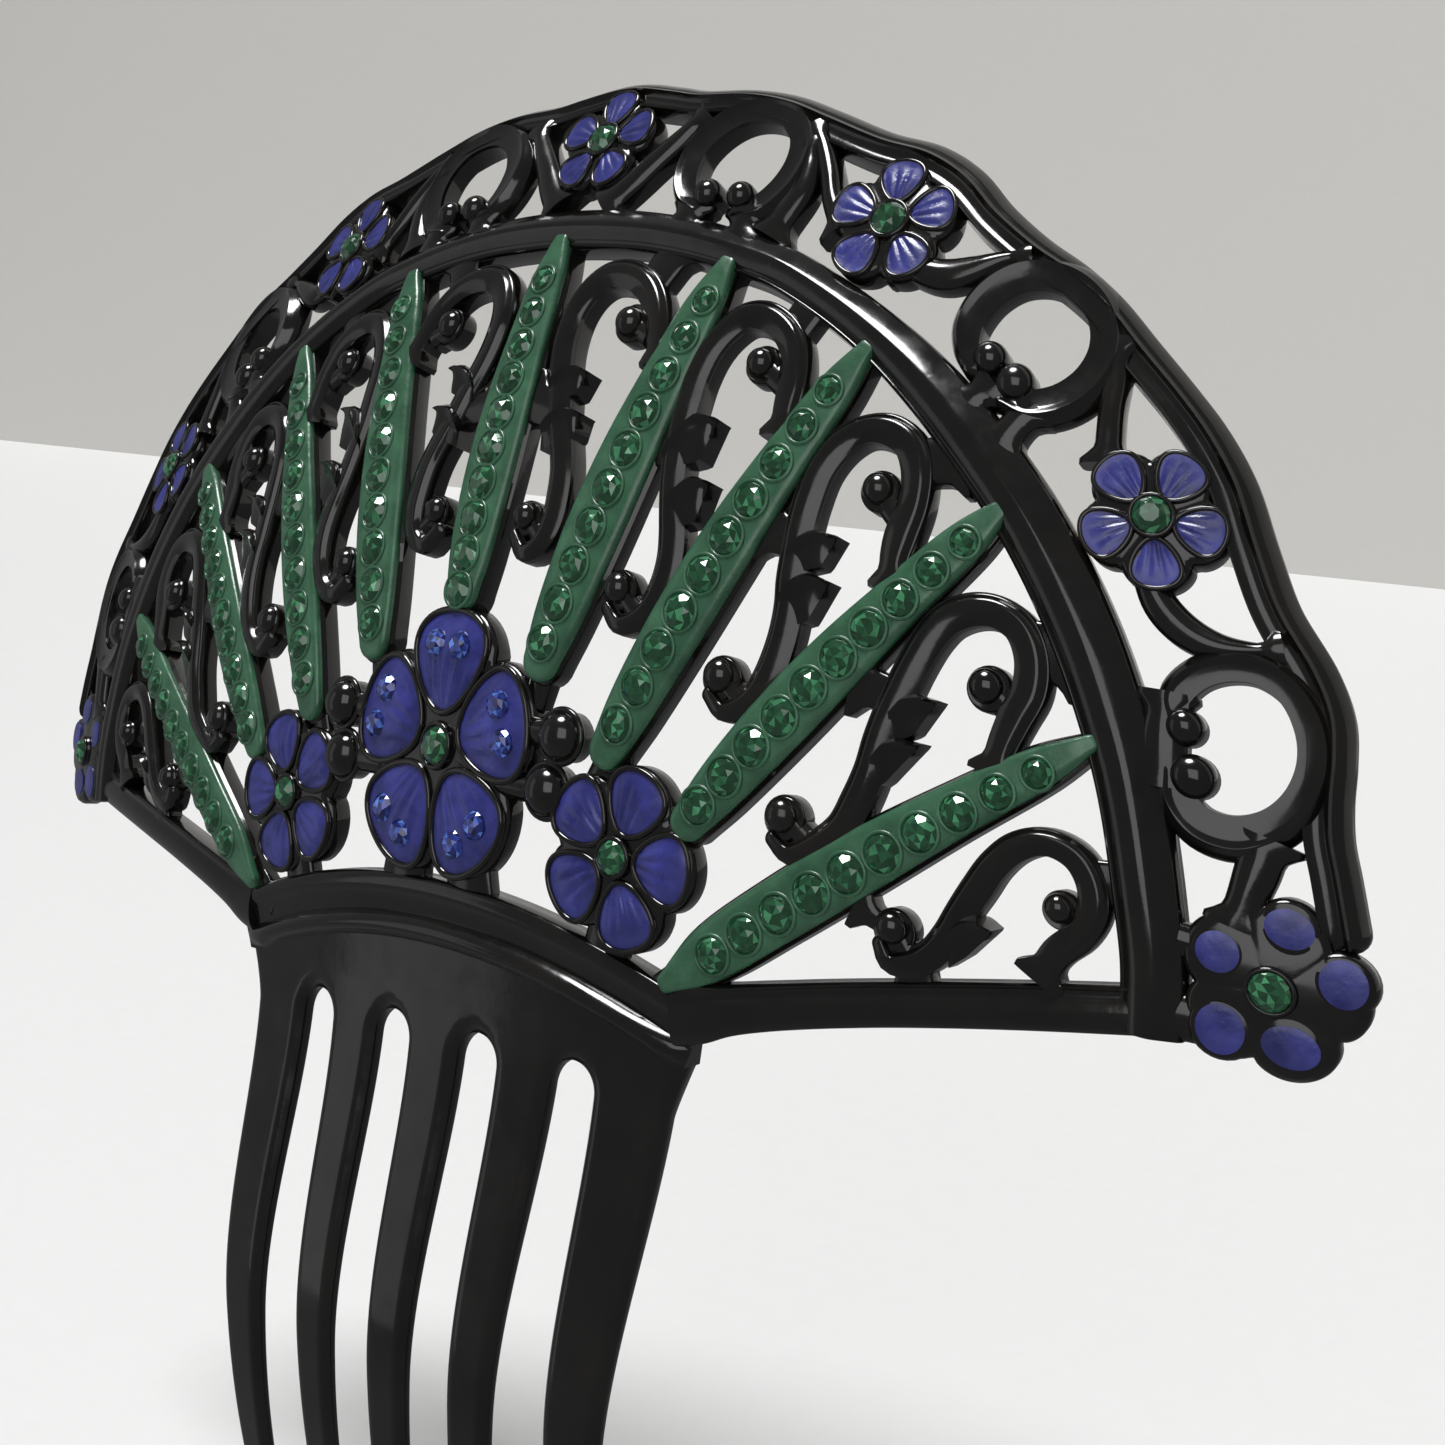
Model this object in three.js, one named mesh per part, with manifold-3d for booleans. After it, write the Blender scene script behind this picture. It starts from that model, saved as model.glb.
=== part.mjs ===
// Decorative hair comb: a fan-shaped openwork crest over five curved teeth, set with glass stones.
// Frame: millimetres, X to the wearer's side, Y towards the head, Z up. The convex front faces -Y.
// Every member is drawn on a flat sheet as (s across, t up, h out of the front face),
// trimmed there against its neighbours, and then bent onto the comb's double curve.
import * as THREE from "three";
import Module from "manifold-3d";

const wasm = await Module();
wasm.setup();

// ---- Driving dimensions, millimetres ----
const BOW_RADIUS = 216; // sideways bow at the root of the teeth
const BOW_TIGHTENING = 0.253; // share the bow radius loses over 100 mm of height
const BOW_DIP = 0.349; // radians the bow dips below the horizontal
const LEAN_RADIUS = 135.6; // backward lean of the crest
const TOOTH_BULGE = 5.9; // how far the teeth swing forward before they return
const BULGE_DROP = 34; // how far below the root that bulge lies
const RETURN_RADIUS = 90; // curve of the lower teeth back towards the head
const TOOTH_LENGTH = 62;
const BODY_BACK = -2.3; // back of the moulding, behind its nominal front face
const GAP = 0.3; // clearance kept between neighbouring members
const STONE_LIFT = 0.2; // clearance between a stone and the face it sits on

const BLACK = new THREE.MeshStandardMaterial({ color: 0x0d0c0b, roughness: 0.22, metalness: 0 });
const BLUE = new THREE.MeshStandardMaterial({ color: 0x2038a0, roughness: 0.08, metalness: 0 });
const GREEN = new THREE.MeshStandardMaterial({ color: 0x1f6b3d, roughness: 0.08, metalness: 0 });

// ---- The comb's curved face ----

function spine(t) {
  if (t >= 0) {
    const lean = t / LEAN_RADIUS;
    return { y: LEAN_RADIUS * (1 - Math.cos(lean)), z: LEAN_RADIUS * Math.sin(lean), lean };
  }
  if (t > -BULGE_DROP) {
    const x = -t / BULGE_DROP;
    return { y: -TOOTH_BULGE * x * x * (3 - 2 * x), z: t, lean: 0 };
  }
  const past = -t - BULGE_DROP;
  return { y: -TOOTH_BULGE + (past * past) / (2 * RETURN_RADIUS), z: t, lean: 0 };
}

function onFace(s, t) {
  const middle = spine(t);
  const radius = BOW_RADIUS * (1 - (BOW_TIGHTENING * t) / 100);
  const sag = radius * (1 - Math.cos(s / radius));
  const dip = middle.lean + BOW_DIP;
  return new THREE.Vector3(
    radius * Math.sin(s / radius),
    middle.y + sag * Math.cos(dip),
    middle.z - sag * Math.sin(dip),
  );
}

function bend(s, t, h) {
  const step = 0.05;
  const across = onFace(s + step, t).sub(onFace(s - step, t));
  const up = onFace(s, t + step).sub(onFace(s, t - step));
  const out = across.cross(up).normalize();
  return onFace(s, t).addScaledVector(out, h);
}

// ---- Flat solids ----

function solidFrom(points, faces) {
  const build = (triangles) =>
    new wasm.Manifold(
      new wasm.Mesh({
        numProp: 3,
        vertProperties: new Float32Array(points.flat()),
        triVerts: new Uint32Array(triangles.flat()),
      }),
    );
  const made = build(faces);
  return made.volume() > 0 ? made : build(faces.map(([a, b, c]) => [a, c, b]));
}

// Joins equal-length closed loops of points into one solid; cap is the 2-D outline of each end.
function loft(loops, cap) {
  const n = loops[0].length;
  const faces = [];
  for (let k = 0; k + 1 < loops.length; k++) {
    for (let i = 0; i < n; i++) {
      const a = k * n + i;
      const b = k * n + ((i + 1) % n);
      faces.push([a, b, b + n], [a, b + n, a + n]);
    }
  }
  const ends = THREE.ShapeUtils.triangulateShape(cap.map(([x, y]) => new THREE.Vector2(x, y)), []);
  const last = (loops.length - 1) * n;
  // The triangulator follows the outline's own turning sense, so both ends are matched to it.
  const flip = THREE.ShapeUtils.isClockWise(cap.map(([x, y]) => new THREE.Vector2(x, y)));
  for (const [a, b, c] of ends) {
    faces.push(flip ? [a, b, c] : [a, c, b]);
    faces.push(flip ? [last + a, last + c, last + b] : [last + a, last + b, last + c]);
  }
  return solidFrom(loops.flat(), faces);
}

// A bar along a curved line of [s, t, half width], rounded on its front.
// A ridge height in place of the crown gives it a single crest line.
function bar(line, { back = BODY_BACK, shoulder = 0, crown = 0.6, steps = 8, ridge = null } = {}) {
  const curve = new THREE.CatmullRomCurve3(
    line.map(([s, t, w]) => new THREE.Vector3(s, t, w)),
    false,
    "centripetal",
  );
  const top = ridge === null ? [[-0.5, crown], [0.5, crown]] : [[0, ridge]];
  const section = [[-1, back], [-1, shoulder], ...top, [1, shoulder], [1, back]];
  const loops = [];
  for (let i = 0; i <= steps; i++) {
    const at = curve.getPointAt(i / steps);
    const along = curve.getTangentAt(i / steps);
    const length = Math.hypot(along.x, along.y);
    const [sx, sy] = [-along.y / length, along.x / length];
    loops.push(section.map(([k, h]) => [at.x + sx * k * at.z, at.y + sy * k * at.z, h]));
  }
  return loft(loops, section);
}

// An upright boss whose outline is given as points round a centre, drawn in at the top.
function boss(outline, centre, { back = BODY_BACK, shoulder = 0, crown = 0.6, top = 0.6 } = {}) {
  const level = (scale, h) =>
    outline.map(([s, t]) => [centre[0] + (s - centre[0]) * scale, centre[1] + (t - centre[1]) * scale, h]);
  const levels = shoulder === null ? [] : [level(1, shoulder)];
  return loft([level(1, back), ...levels, level(top, crown)], outline);
}

function roundOutline([s, t], radius, sides) {
  const points = [];
  for (let i = 0; i < sides; i++) {
    const a = (2 * Math.PI * (i + 0.5)) / sides;
    points.push([s + radius * Math.cos(a), t + radius * Math.sin(a)]);
  }
  return points;
}

function knob(centre, radius, levels, sides = 9) {
  return boss(roundOutline(centre, radius, sides), centre, levels);
}

// A five-lobed outline: one lobe points along the given angle.
function flowerOutline([s, t], inner, outer, angle, sides = 30) {
  const points = [];
  for (let i = 0; i < sides; i++) {
    const a = (2 * Math.PI * i) / sides;
    const lobe = Math.abs(Math.cos((5 * (a - angle)) / 2));
    const r = inner + (outer - inner) * Math.sqrt(lobe);
    points.push([s + r * Math.cos(a), t + r * Math.sin(a)]);
  }
  return points;
}

const joined = (solids) => solids.reduce((all, one) => all.add(one));
const mirrored = (line) => line.map(([s, ...rest]) => [-s, ...rest]);
const wider = (line, grow) => line.map(([s, t, w]) => [s, t, w + grow]);
const DEEP = { back: -8, shoulder: 8, crown: 8.5 };

// ---- The drawing, right-hand half ----
// Rays, lowest first: foot and tip of the lens-shaped bar, and the first and last of its stones.
const RAYS = [
  { foot: [26.9, 5], tip: [60.2, 31.2], first: [31.7, 8.4], last: [56.8, 28], width: 2.6 },
  { foot: [27.2, 17], tip: [50.3, 47.4], first: [29.2, 19.6], last: [48, 43.9], width: 2.65 },
  { foot: [18.3, 20.4], tip: [35.5, 57.8], first: [20.3, 24.6], last: [33.5, 53.7], width: 2.9 },
  { foot: [10.2, 26.2], tip: [19.8, 63.6], first: [11.1, 30.1], last: [19.2, 60], width: 3.3 },
  { foot: [0, 31.2], tip: [0, 65.6], first: [0, 33.6], last: [0, 61.6], width: 3.2 },
];

const ARCH = [
  [66.9, 10.6, 2.3], [66.6, 16, 2.4], [65.6, 21, 2.5], [63.9, 27.3, 2.55], [62.2, 31.8, 2.65],
  [58.1, 39.3, 2.7], [52.2, 46.8, 2.7], [45.2, 53.1, 2.6], [40.2, 56.7, 2.4], [35.6, 59.4, 2.15],
  [30.1, 62, 2], [24.5, 64.1, 1.95], [20, 65.1, 1.95], [15, 66, 1.95], [10, 66.6, 1.95], [5, 66.9, 2],
  [0, 67, 2],
];
const OUTER_RAIL = [
  [79.4, 22.4, 1.75], [78.4, 26, 1.75], [77.5, 29, 1.75],
  [77.1, 32, 1.7], [76.9, 35, 1.7], [76.3, 38, 1.8], [74.8, 40.7, 1.9], [71.4, 44.8, 1.85],
  [68.9, 49.1, 1.85], [66.4, 53.6, 1.85], [63.7, 56.8, 1.85], [60.9, 59.3, 1.8], [57.2, 62.2, 1.8],
  [53.5, 65.2, 1.7], [50.2, 67.1, 1.7], [46.4, 68.7, 1.75], [42.3, 71, 1.8], [38.6, 73.7, 1.85],
  [34.8, 75.3, 1.85], [29.9, 76.1, 1.75], [23.7, 77.9, 1.7], [19.1, 79.3, 1.6], [14.6, 79.95, 1.55],
  [8.7, 80, 1.55], [5.7, 80.5, 1.55], [0, 81.25, 1.6],
];
const SILL = [
  [30.4, 3.4, 1.9], [36, 5, 1.9], [44, 7.1, 1.8], [54, 9.5, 1.8], [64.4, 12, 1.9],
];

// Scrolls: stem from the ball curl at its foot, over the hook, to the foot that meets the next ray.
const SCROLLS = [
  {
    stem: [[45.9, 12.4, 0.7], [46.7, 11.2, 0.9], [48.6, 11.5, 1.2], [50.1, 12.6, 1.25], [51.2, 14.2, 1.3],
      [52, 16.1, 1.25], [53.1, 18.3, 1.3], [54.2, 20.4, 1.25], [55.8, 22.2, 1.2], [57.9, 23.1, 1.1],
      [60.2, 22.6, 1.15], [61.6, 21, 1.2], [62, 18.9, 1.25], [61.2, 16.8, 1.25], [59.6, 15, 1.2],
      [58.4, 12.6, 1]],
    balls: [[46.9, 13.6, 1.75], [59.7, 18.3, 1.55]],
    barbs: [[[51.4, 13.6, 1.1], [54.9, 15.7, 0.15]]],
    ties: [
      [[61, 21, 1.6], [64.4, 21.4, 1.8]],
      [[46.6, 13.4, 0.8], [44, 14.6, 0.9]],
      [[48.6, 11.2, 1.5], [48.9, 9, 1.8]],
    ],
  },
  {
    stem: [[35.9, 18.4, 0.7], [37.4, 17.5, 0.9], [39.8, 18.7, 1.2], [41.7, 20.4, 1.4], [42.7, 22.7, 1.45],
      [43.4, 25.1, 1.4], [43.8, 27.6, 1.4], [44.3, 29.8, 1.4], [45, 32, 1.45], [45.7, 34.2, 1.45],
      [46.6, 36.4, 1.45], [47.7, 38, 1.45], [49.6, 39.1, 1.4], [51.5, 39.3, 1.35], [53.4, 38.5, 1.35],
      [54.7, 36.5, 1.4], [55, 34, 1.45], [54.3, 31.7, 1.4], [53.7, 29.5, 1.25], [53.3, 27, 1.1]],
    balls: [[36.7, 20.1, 1.85], [51.9, 33.4, 1.85]],
    barbs: [[[43.9, 28.6, 1.2], [47.9, 31.9, 0.15]], [[43.4, 25.2, 1.1], [47.5, 28.2, 0.15]]],
    ties: [
      [[54.2, 37.2, 2.2], [57.6, 37.4, 2.6]],
      [[44.4, 31.2, 1.4], [41.4, 31.6, 1.7]],
    ],
  },
  {
    stem: [[28.4, 28.4, 0.7], [30, 27.3, 0.9], [32.2, 28.5, 1.15], [33.4, 30.4, 1.4], [34.1, 33.4, 1.4],
      [34.2, 36.2, 1.4], [33.9, 38.4, 1.4], [33.8, 40.1, 1.4], [33.7, 42.3, 1.4], [33.8, 44.8, 1.4],
      [34.3, 47.6, 1.35], [35.5, 49.9, 1.35], [37.3, 51.3, 1.25], [39.4, 51.6, 1.4], [41.3, 50.8, 1.4],
      [42.5, 48.8, 1.35], [42.9, 46.2, 1.35], [42.5, 43.4, 1.45], [42.4, 41.5, 1.25], [42.7, 39.4, 1]],
    balls: [[29.3, 29.8, 1.85], [39.9, 46.6, 1.75]],
    barbs: [[[33.9, 39.4, 1.3], [37.4, 42.5, 0.15]], [[34, 35.8, 1.3], [37.4, 38.9, 0.15]]],
    ties: [
      [[41.8, 49.4, 1.8], [45.6, 50.6, 2.2]],
      [[33.8, 41.6, 1.5], [30.6, 42.2, 1.9]],
    ],
  },
  {
    stem: [[16.9, 33.8, 0.7], [18.4, 32.6, 0.9], [20.2, 33.2, 1.1], [21.4, 34.6, 1.3], [22.1, 36.6, 1.4],
      [22.2, 38.6, 1.4], [21.9, 40.4, 1.4], [21.3, 42.3, 1.3], [20.8, 44.2, 1.3], [20.4, 46.4, 1.35],
      [20.1, 49, 1.4], [20.1, 51.4, 1.35], [20.2, 53.8, 1.35], [20.8, 56.2, 1.3], [21.9, 58.1, 1.3],
      [23.3, 59.3, 1.3], [25, 59.5, 1.35], [27, 58.8, 1.35], [28.5, 57.5, 1.35], [29.3, 55.8, 1.35],
      [29.7, 53.8, 1.35], [29.8, 52, 1.25], [30, 49.6, 1]],
    balls: [[17.8, 35.3, 1.75], [26.4, 55.3, 1.7]],
    barbs: [[[20.5, 47, 1.3], [23.5, 50.5, 0.15]], [[21.6, 42, 1.3], [24.6, 45.2, 0.15]]],
    ties: [
      [[27.8, 58, 1.6], [29.4, 62.2, 1.8]],
      [[20.2, 47.6, 1.7], [16.8, 47.8, 2.2]],
    ],
  },
  {
    stem: [[4.9, 38.8, 0.7], [6.4, 37.4, 0.9], [8, 38.2, 1.1], [8.8, 40.2, 1.3], [8.8, 42.7, 1.35],
      [8.4, 44.9, 1.3], [7.6, 47, 1.3], [6.7, 49.1, 1.3], [5.9, 51.5, 1.3], [5, 53.8, 1.3],
      [4.5, 56.2, 1.3], [4.6, 58.9, 1.3], [5.5, 61, 1.35], [7, 62.2, 1.4], [9, 62.4, 1.45],
      [11.2, 61.8, 1.4], [12.9, 60.5, 1.35], [14.1, 58.8, 1.25], [15, 56.6, 1.1], [15.8, 54.6, 0.8]],
    balls: [[5.9, 40.3, 1.6], [11.6, 57.9, 1.8]],
    barbs: [[[5.8, 50.8, 1.2], [8.5, 53.6, 0.15]], [[6.8, 47, 1.2], [9.2, 49.9, 0.15]]],
    ties: [
      [[11.9, 61.4, 1.8], [13.4, 65, 2]],
      [[6, 49.8, 1.6], [2.6, 50.6, 2]],
    ],
  },
];

// Ring scrolls of the border: the open ring with its two ball ends, and the leaf stems beside it.
const RINGS = [
  {
    arc: [[65.9, 34.8, 1], [65.5, 36.4, 1.3], [66.7, 38.5, 1.35], [68.7, 39.8, 1.35], [71.1, 40.2, 1.35],
      [73.7, 39.2, 1.4], [75.6, 36.6, 1.5], [76.1, 33.8, 1.5], [75.4, 30.8, 1.5], [73.7, 28.4, 1.6],
      [71.2, 27, 1.8], [68.6, 27.2, 1.75], [66.8, 28.8, 1.5], [66.3, 30.6, 1.1]],
    balls: [[66.7, 34.3, 1.45], [67.8, 30.8, 1.7]],
    stems: [
      [[64.9, 36.6, 1.2], [65.2, 33, 1.8], [65.8, 29.4, 1.6]],
      [[73.5, 27.8, 1.6], [73, 25, 1.6], [72.6, 23, 1.45], [72.2, 20.4, 1.5]],
      [[60.9, 44.6, 1.4], [63.2, 42.8, 1.35], [65.4, 41.5, 1.35], [67.8, 41, 1.1], [70.2, 41.4, 0.7], [72.4, 42.2, 0.4]],
    ],
  },
  {
    arc: [[44.6, 57.9, 0.9], [43.6, 59.4, 1.2], [43.1, 61.6, 1.5], [44, 64.4, 1.6], [46, 66.4, 1.6],
      [48.8, 67.1, 1.6], [51.6, 66.4, 1.6], [53.9, 64.4, 1.6], [54.8, 61.6, 1.6], [54.2, 58.8, 1.6],
      [52.4, 56.6, 1.6], [50, 55.6, 1.5], [48, 55.9, 1.1]],
    balls: [[45.9, 58.9, 1.4], [48.4, 57.4, 1.55]],
    stems: [
      [[46.8, 57, 1.4], [45, 55.4, 2.4]],
      [[50.2, 56, 1.6], [48.6, 52.6, 2.6]],
      [[55.4, 63, 1], [55.9, 60, 1], [56.2, 57, 1], [57, 52.6, 1.1]],
      [[36, 64, 1.4], [39.6, 65.1, 1.5], [42.1, 66.25, 1.2], [44.3, 67.5, 0.75], [46.5, 68.3, 0.4]],
    ],
  },
  {
    arc: [[14, 69, 0.9], [12.4, 69.9, 1.2], [11.2, 71.9, 1.5], [11.1, 74.6, 1.6], [12.6, 77.2, 1.6],
      [15, 78.7, 1.5], [17.8, 79, 1.5], [20.5, 78.2, 1.5], [22.3, 76.2, 1.5], [22.8, 73.6, 1.5],
      [22.1, 71, 1.5], [20.4, 69, 1.4], [18.6, 68.6, 1]],
    balls: [[14.7, 70.2, 1.35], [18.3, 70.1, 1.3]],
    stems: [
      [[23, 76, 0.8], [23.9, 73.4, 1], [24, 71.2, 1.2], [23.4, 69.2, 1.3], [22.4, 66.6, 1.4]],
      [[21.6, 78.6, 0.8], [24, 76.2, 0.95], [25.9, 73.2, 1], [27.3, 70.6, 1], [29.4, 67.8, 1.1]],
      [[2.8, 69.2, 1.5], [5, 71.5, 1.4], [6.7, 73.6, 1.3], [8.6, 75.9, 1.15], [10.6, 78.6, 0.8]],
      [[13.4, 69.6, 1.4], [13, 66.8, 2]],
      [[19.4, 69, 1.4], [19.6, 66, 2]],
    ],
  },
];

const CENTRE_FLOWER = { centre: [0, 20.6], inner: 8.2, outer: 11.5, angle: Math.PI / 2, stone: 1.7 };
const BLUE_REACH = 8.2; // distance of the blue stones from the middle of the centre flower
const BLUE_SPREAD = 0.19; // radians each stone lies off its petal's axis
const SIDE_FLOWER = { centre: [21.3, 14.1], inner: 5.8, outer: 7.9, angle: 1.25, stone: 1.5 };
const BALLS = [[14.1, 22.8, 2.1], [13.2, 18.2, 2.15]];
// Webs are the short bridges from a border flower to the arch rail.
const BORDER_FLOWERS = [
  {
    centre: [75, 16.5], inner: 5.3, outer: 6.9, angle: 1.4, stone: 1.55,
    webs: [[[68.4, 12.6, 1.8], [72.6, 12.8, 1.8]], [[68.2, 18.4, 1.4], [72.6, 18.2, 1.4]]],
  },
  { centre: [61.4, 49.4], inner: 4.1, outer: 5.9, angle: 1.22, stone: 1.5, webs: [] },
  { centre: [33.7, 69], inner: 4.0, outer: 5.8, angle: 1.66, stone: 1.5, webs: [] },
  { centre: [0, 75.8], inner: 3.8, outer: 5.4, angle: Math.PI / 2, stone: 1.45, webs: [] },
];

// ---- Members ----

const FLOWER_LEVELS = { shoulder: 0.3, crown: 0.9, top: 0.82 };

const flowerBody = (f, grow = 0, levels = FLOWER_LEVELS) =>
  boss(flowerOutline(f.centre, f.inner + grow, f.outer + grow, f.angle), f.centre, levels);

function rayLine({ foot, tip, width: w }) {
  const at = (k, wide) => [foot[0] + (tip[0] - foot[0]) * k, foot[1] + (tip[1] - foot[1]) * k, wide];
  return [at(0, 0.68 * w), at(0.12, 0.88 * w), at(0.35, w), at(0.6, 0.9 * w), at(0.8, 0.66 * w), at(1, 0.2 * w)];
}

// The stones of one ray, held together by the slim strip they are glued along.
function rayStones({ first, last }) {
  const back = 0.6 + STONE_LIFT;
  const stones = [bar([[...first, 0.4], [...last, 0.4]], { back, shoulder: back + 0.2, crown: back + 0.3, steps: 3 })];
  for (let i = 0; i < 10; i++) {
    const k = i / 9;
    const centre = [first[0] + (last[0] - first[0]) * k, first[1] + (last[1] - first[1]) * k];
    const radius = 1.35 + 0.15 * Math.sin(Math.PI * k) - 0.35 * k ** 4;
    stones.push(knob(centre, radius, { back, shoulder: null, crown: back + 0.9, top: 0.6 }, 6));
  }
  return joined(stones);
}

function scroll({ stem, balls, barbs, ties }) {
  return joined([
    bar(stem, { back: -1.9, ridge: 0.6, steps: 13 }),
    ...balls.map(([s, t, r]) => knob([s, t], r, { back: -1.9, shoulder: 0.2, crown: 1.0, top: 0.5 }, 7)),
    ...barbs.map((line) => bar(line, { back: -1.7, ridge: 0.4, steps: 1 })),
    ...ties.map((line) => bar(line, { back: -1.8, ridge: 0.3, steps: 1 })),
  ]);
}

function ring({ arc, balls, stems }) {
  return joined([
    bar(arc, { back: -2.1, ridge: 0.6, steps: 14 }),
    ...balls.map(([s, t, r]) => knob([s, t], r, { back: -2.1, shoulder: 0.2, crown: 1.0, top: 0.5 }, 7)),
    ...stems.map((line) => bar(line, { back: -2, ridge: 0.5, steps: line.length > 2 ? 3 : 1 })),
  ]);
}

// Half width of the tooth plate at height t, and the arched line of its top edge.
const plateHalfWidth = (t) => (t >= 0 ? 29.3 : 29.3 + 0.36 * Math.max(t, -8));
const plateTop = (u) => 8.9 - 5.0 * u * u;

// The plate the teeth spring from, with its raised arched bead.
function toothPlate(grow = 0) {
  const loops = [];
  let cap = [];
  for (let i = 0; i <= 12; i++) {
    const u = -1 + i / 6;
    const top = plateTop(u) + grow;
    const bead = 4.3 - 5.4 * u * u;
    cap = [
      [-8, -2.5], [-8, -0.3], [bead - 1.6, -0.3], [bead - 0.9, 0.7], [bead + 0.7, 0.7], [bead + 1.3, 0.1],
      [top - 0.8, 0.4], [top, -0.4], [top, -2.5],
    ];
    if (grow) cap = [[-8, -8], [-8, 8], [top, 8], [top, -8]];
    loops.push(cap.map(([t, h]) => [u * (plateHalfWidth(t) + grow), t, h]));
  }
  return loft(loops, cap);
}

// Teeth, from the middle outwards: near and far edge at the root and near the tip.
const TEETH = [
  { root: [-3.2, 3.2], tip: [-2.0, 2.0] },
  { root: [8.1, 14.4], tip: [7.9, 11.7] },
  { root: [19.3, 27], tip: [19.2, 23.2] },
];

function tooth({ root, tip }) {
  const line = [];
  for (let i = 0; i <= 8; i++) {
    const k = i / 8;
    const [a, b] = [root[0] + (tip[0] - root[0]) * k, root[1] + (tip[1] - root[1]) * k];
    line.push([(a + b) / 2, -6 - (TOOTH_LENGTH - 8) * k, (b - a) / 2]);
  }
  const [s, , w] = line.at(-1);
  line.push([s, 2 - TOOTH_LENGTH - 1.2, w * 0.8], [s, -TOOTH_LENGTH - 0.6, w * 0.3]);
  const loops = line.map(([cs, t, hw]) => {
    const thick = 1.15 - 0.4 * Math.min(1, (-t - 6) / (TOOTH_LENGTH - 6));
    const mid = -1.4;
    return [[-1, -0.4], [-1, 0.4], [-0.5, 1], [0.5, 1], [1, 0.4], [1, -0.4], [0, -1]].map(
      ([k, h]) => [cs + k * hw, t, mid + h * thick],
    );
  });
  return loft(loops, loops[0].map(([cs, , h]) => [cs, h]));
}

function toothComb() {
  const teeth = TEETH.map(tooth);
  const outer = TEETH.slice(1).map(({ root, tip }) =>
    tooth({ root: [-root[1], -root[0]], tip: [-tip[1], -tip[0]] }),
  );
  let made = joined([toothPlate(), ...teeth, ...outer]);
  for (const side of [-1, 1]) {
    for (const [near, far] of [[3.2, 8.1], [14.4, 19.3]]) {
      const middle = (side * (near + far)) / 2;
      const half = (far - near) / 2;
      made = made.subtract(knob([middle, -6], half, { ...DEEP, top: 1 }, 12));
      made = made.subtract(bar([[middle, -6, half - 0.05], [middle, -10, half - 0.05]], { ...DEEP, steps: 1 }));
    }
  }
  return made;
}

// ---- Trimming, bending and naming ----

const comb = new THREE.Group();
comb.name = "decorative_hair_comb";
const cutters = [];

const boxesMeet = (a, b) =>
  [0, 1].every((k) => a.min[k] <= b.max[k] && b.min[k] <= a.max[k]);

function largestBody(solid) {
  return solid.decompose().reduce((best, one) => (one.volume() > best.volume() ? one : best));
}

function bentMesh(name, solid, material) {
  const mesh = solid.getMesh();
  const positions = [];
  for (let i = 0; i < mesh.numVert; i++) {
    const [s, t, h] = mesh.vertProperties.subarray(i * mesh.numProp, i * mesh.numProp + 3);
    positions.push(...bend(s, t, h).toArray());
  }
  const geometry = new THREE.BufferGeometry();
  geometry.setAttribute("position", new THREE.Float32BufferAttribute(positions, 3));
  geometry.setIndex([...mesh.triVerts]);
  geometry.computeVertexNormals();
  const made = new THREE.Mesh(geometry, material);
  made.name = name;
  comb.add(made);
}

// Adds a member of the moulding, trimmed back from every member added before it.
function addMember(name, solid, cutter) {
  let trimmed = solid;
  for (const earlier of cutters) {
    if (boxesMeet(solid.boundingBox(), earlier.boundingBox())) trimmed = trimmed.subtract(earlier);
  }
  bentMesh(name, largestBody(trimmed), BLACK);
  if (cutter) cutters.push(cutter);
}

const grown = (line, steps) => bar(wider(line, GAP), { ...DEEP, steps });

addMember("tooth_comb", toothComb(), toothPlate(GAP));

const sideName = { 1: "right", "-1": "left" };
addMember(
  "base_flower_centre",
  joined([
    flowerBody(CENTRE_FLOWER),
    ...BALLS.flatMap(([s, t, r]) =>
      [-1, 1].map((side) => knob([side * s, t], r, { back: -2.1, shoulder: 0.4, crown: 1.3, top: 0.5 }, 10)),
    ),
    ...BALLS.flatMap(([s, t]) => [-1, 1].map((side) => bar([[side * 8, t, 0.9], [side * s, t, 0.9]], { steps: 1 }))),
  ]),
  joined([
    flowerBody(CENTRE_FLOWER, GAP, DEEP),
    ...BALLS.flatMap(([s, t, r]) => [-1, 1].map((side) => knob([side * s, t], r + GAP, { ...DEEP, top: 1 }, 10))),
  ]),
);
for (const side of [-1, 1]) {
  const flower = {
    ...SIDE_FLOWER,
    centre: [side * SIDE_FLOWER.centre[0], SIDE_FLOWER.centre[1]],
    angle: side > 0 ? SIDE_FLOWER.angle : Math.PI - SIDE_FLOWER.angle,
  };
  addMember("base_flower_" + sideName[side], flowerBody(flower), flowerBody(flower, GAP, DEEP));
}

addMember("arch_rail", bar([...ARCH, ...mirrored(ARCH.slice(0, -1)).reverse()], { crown: 0.9, steps: 34 }),
  grown([...ARCH, ...mirrored(ARCH.slice(0, -1)).reverse()], 34));
addMember("sill_right", bar(SILL, { shoulder: -0.2, steps: 6 }), grown(SILL, 6));
addMember("sill_left", bar(mirrored(SILL), { shoulder: -0.2, steps: 6 }), grown(mirrored(SILL), 6));

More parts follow.
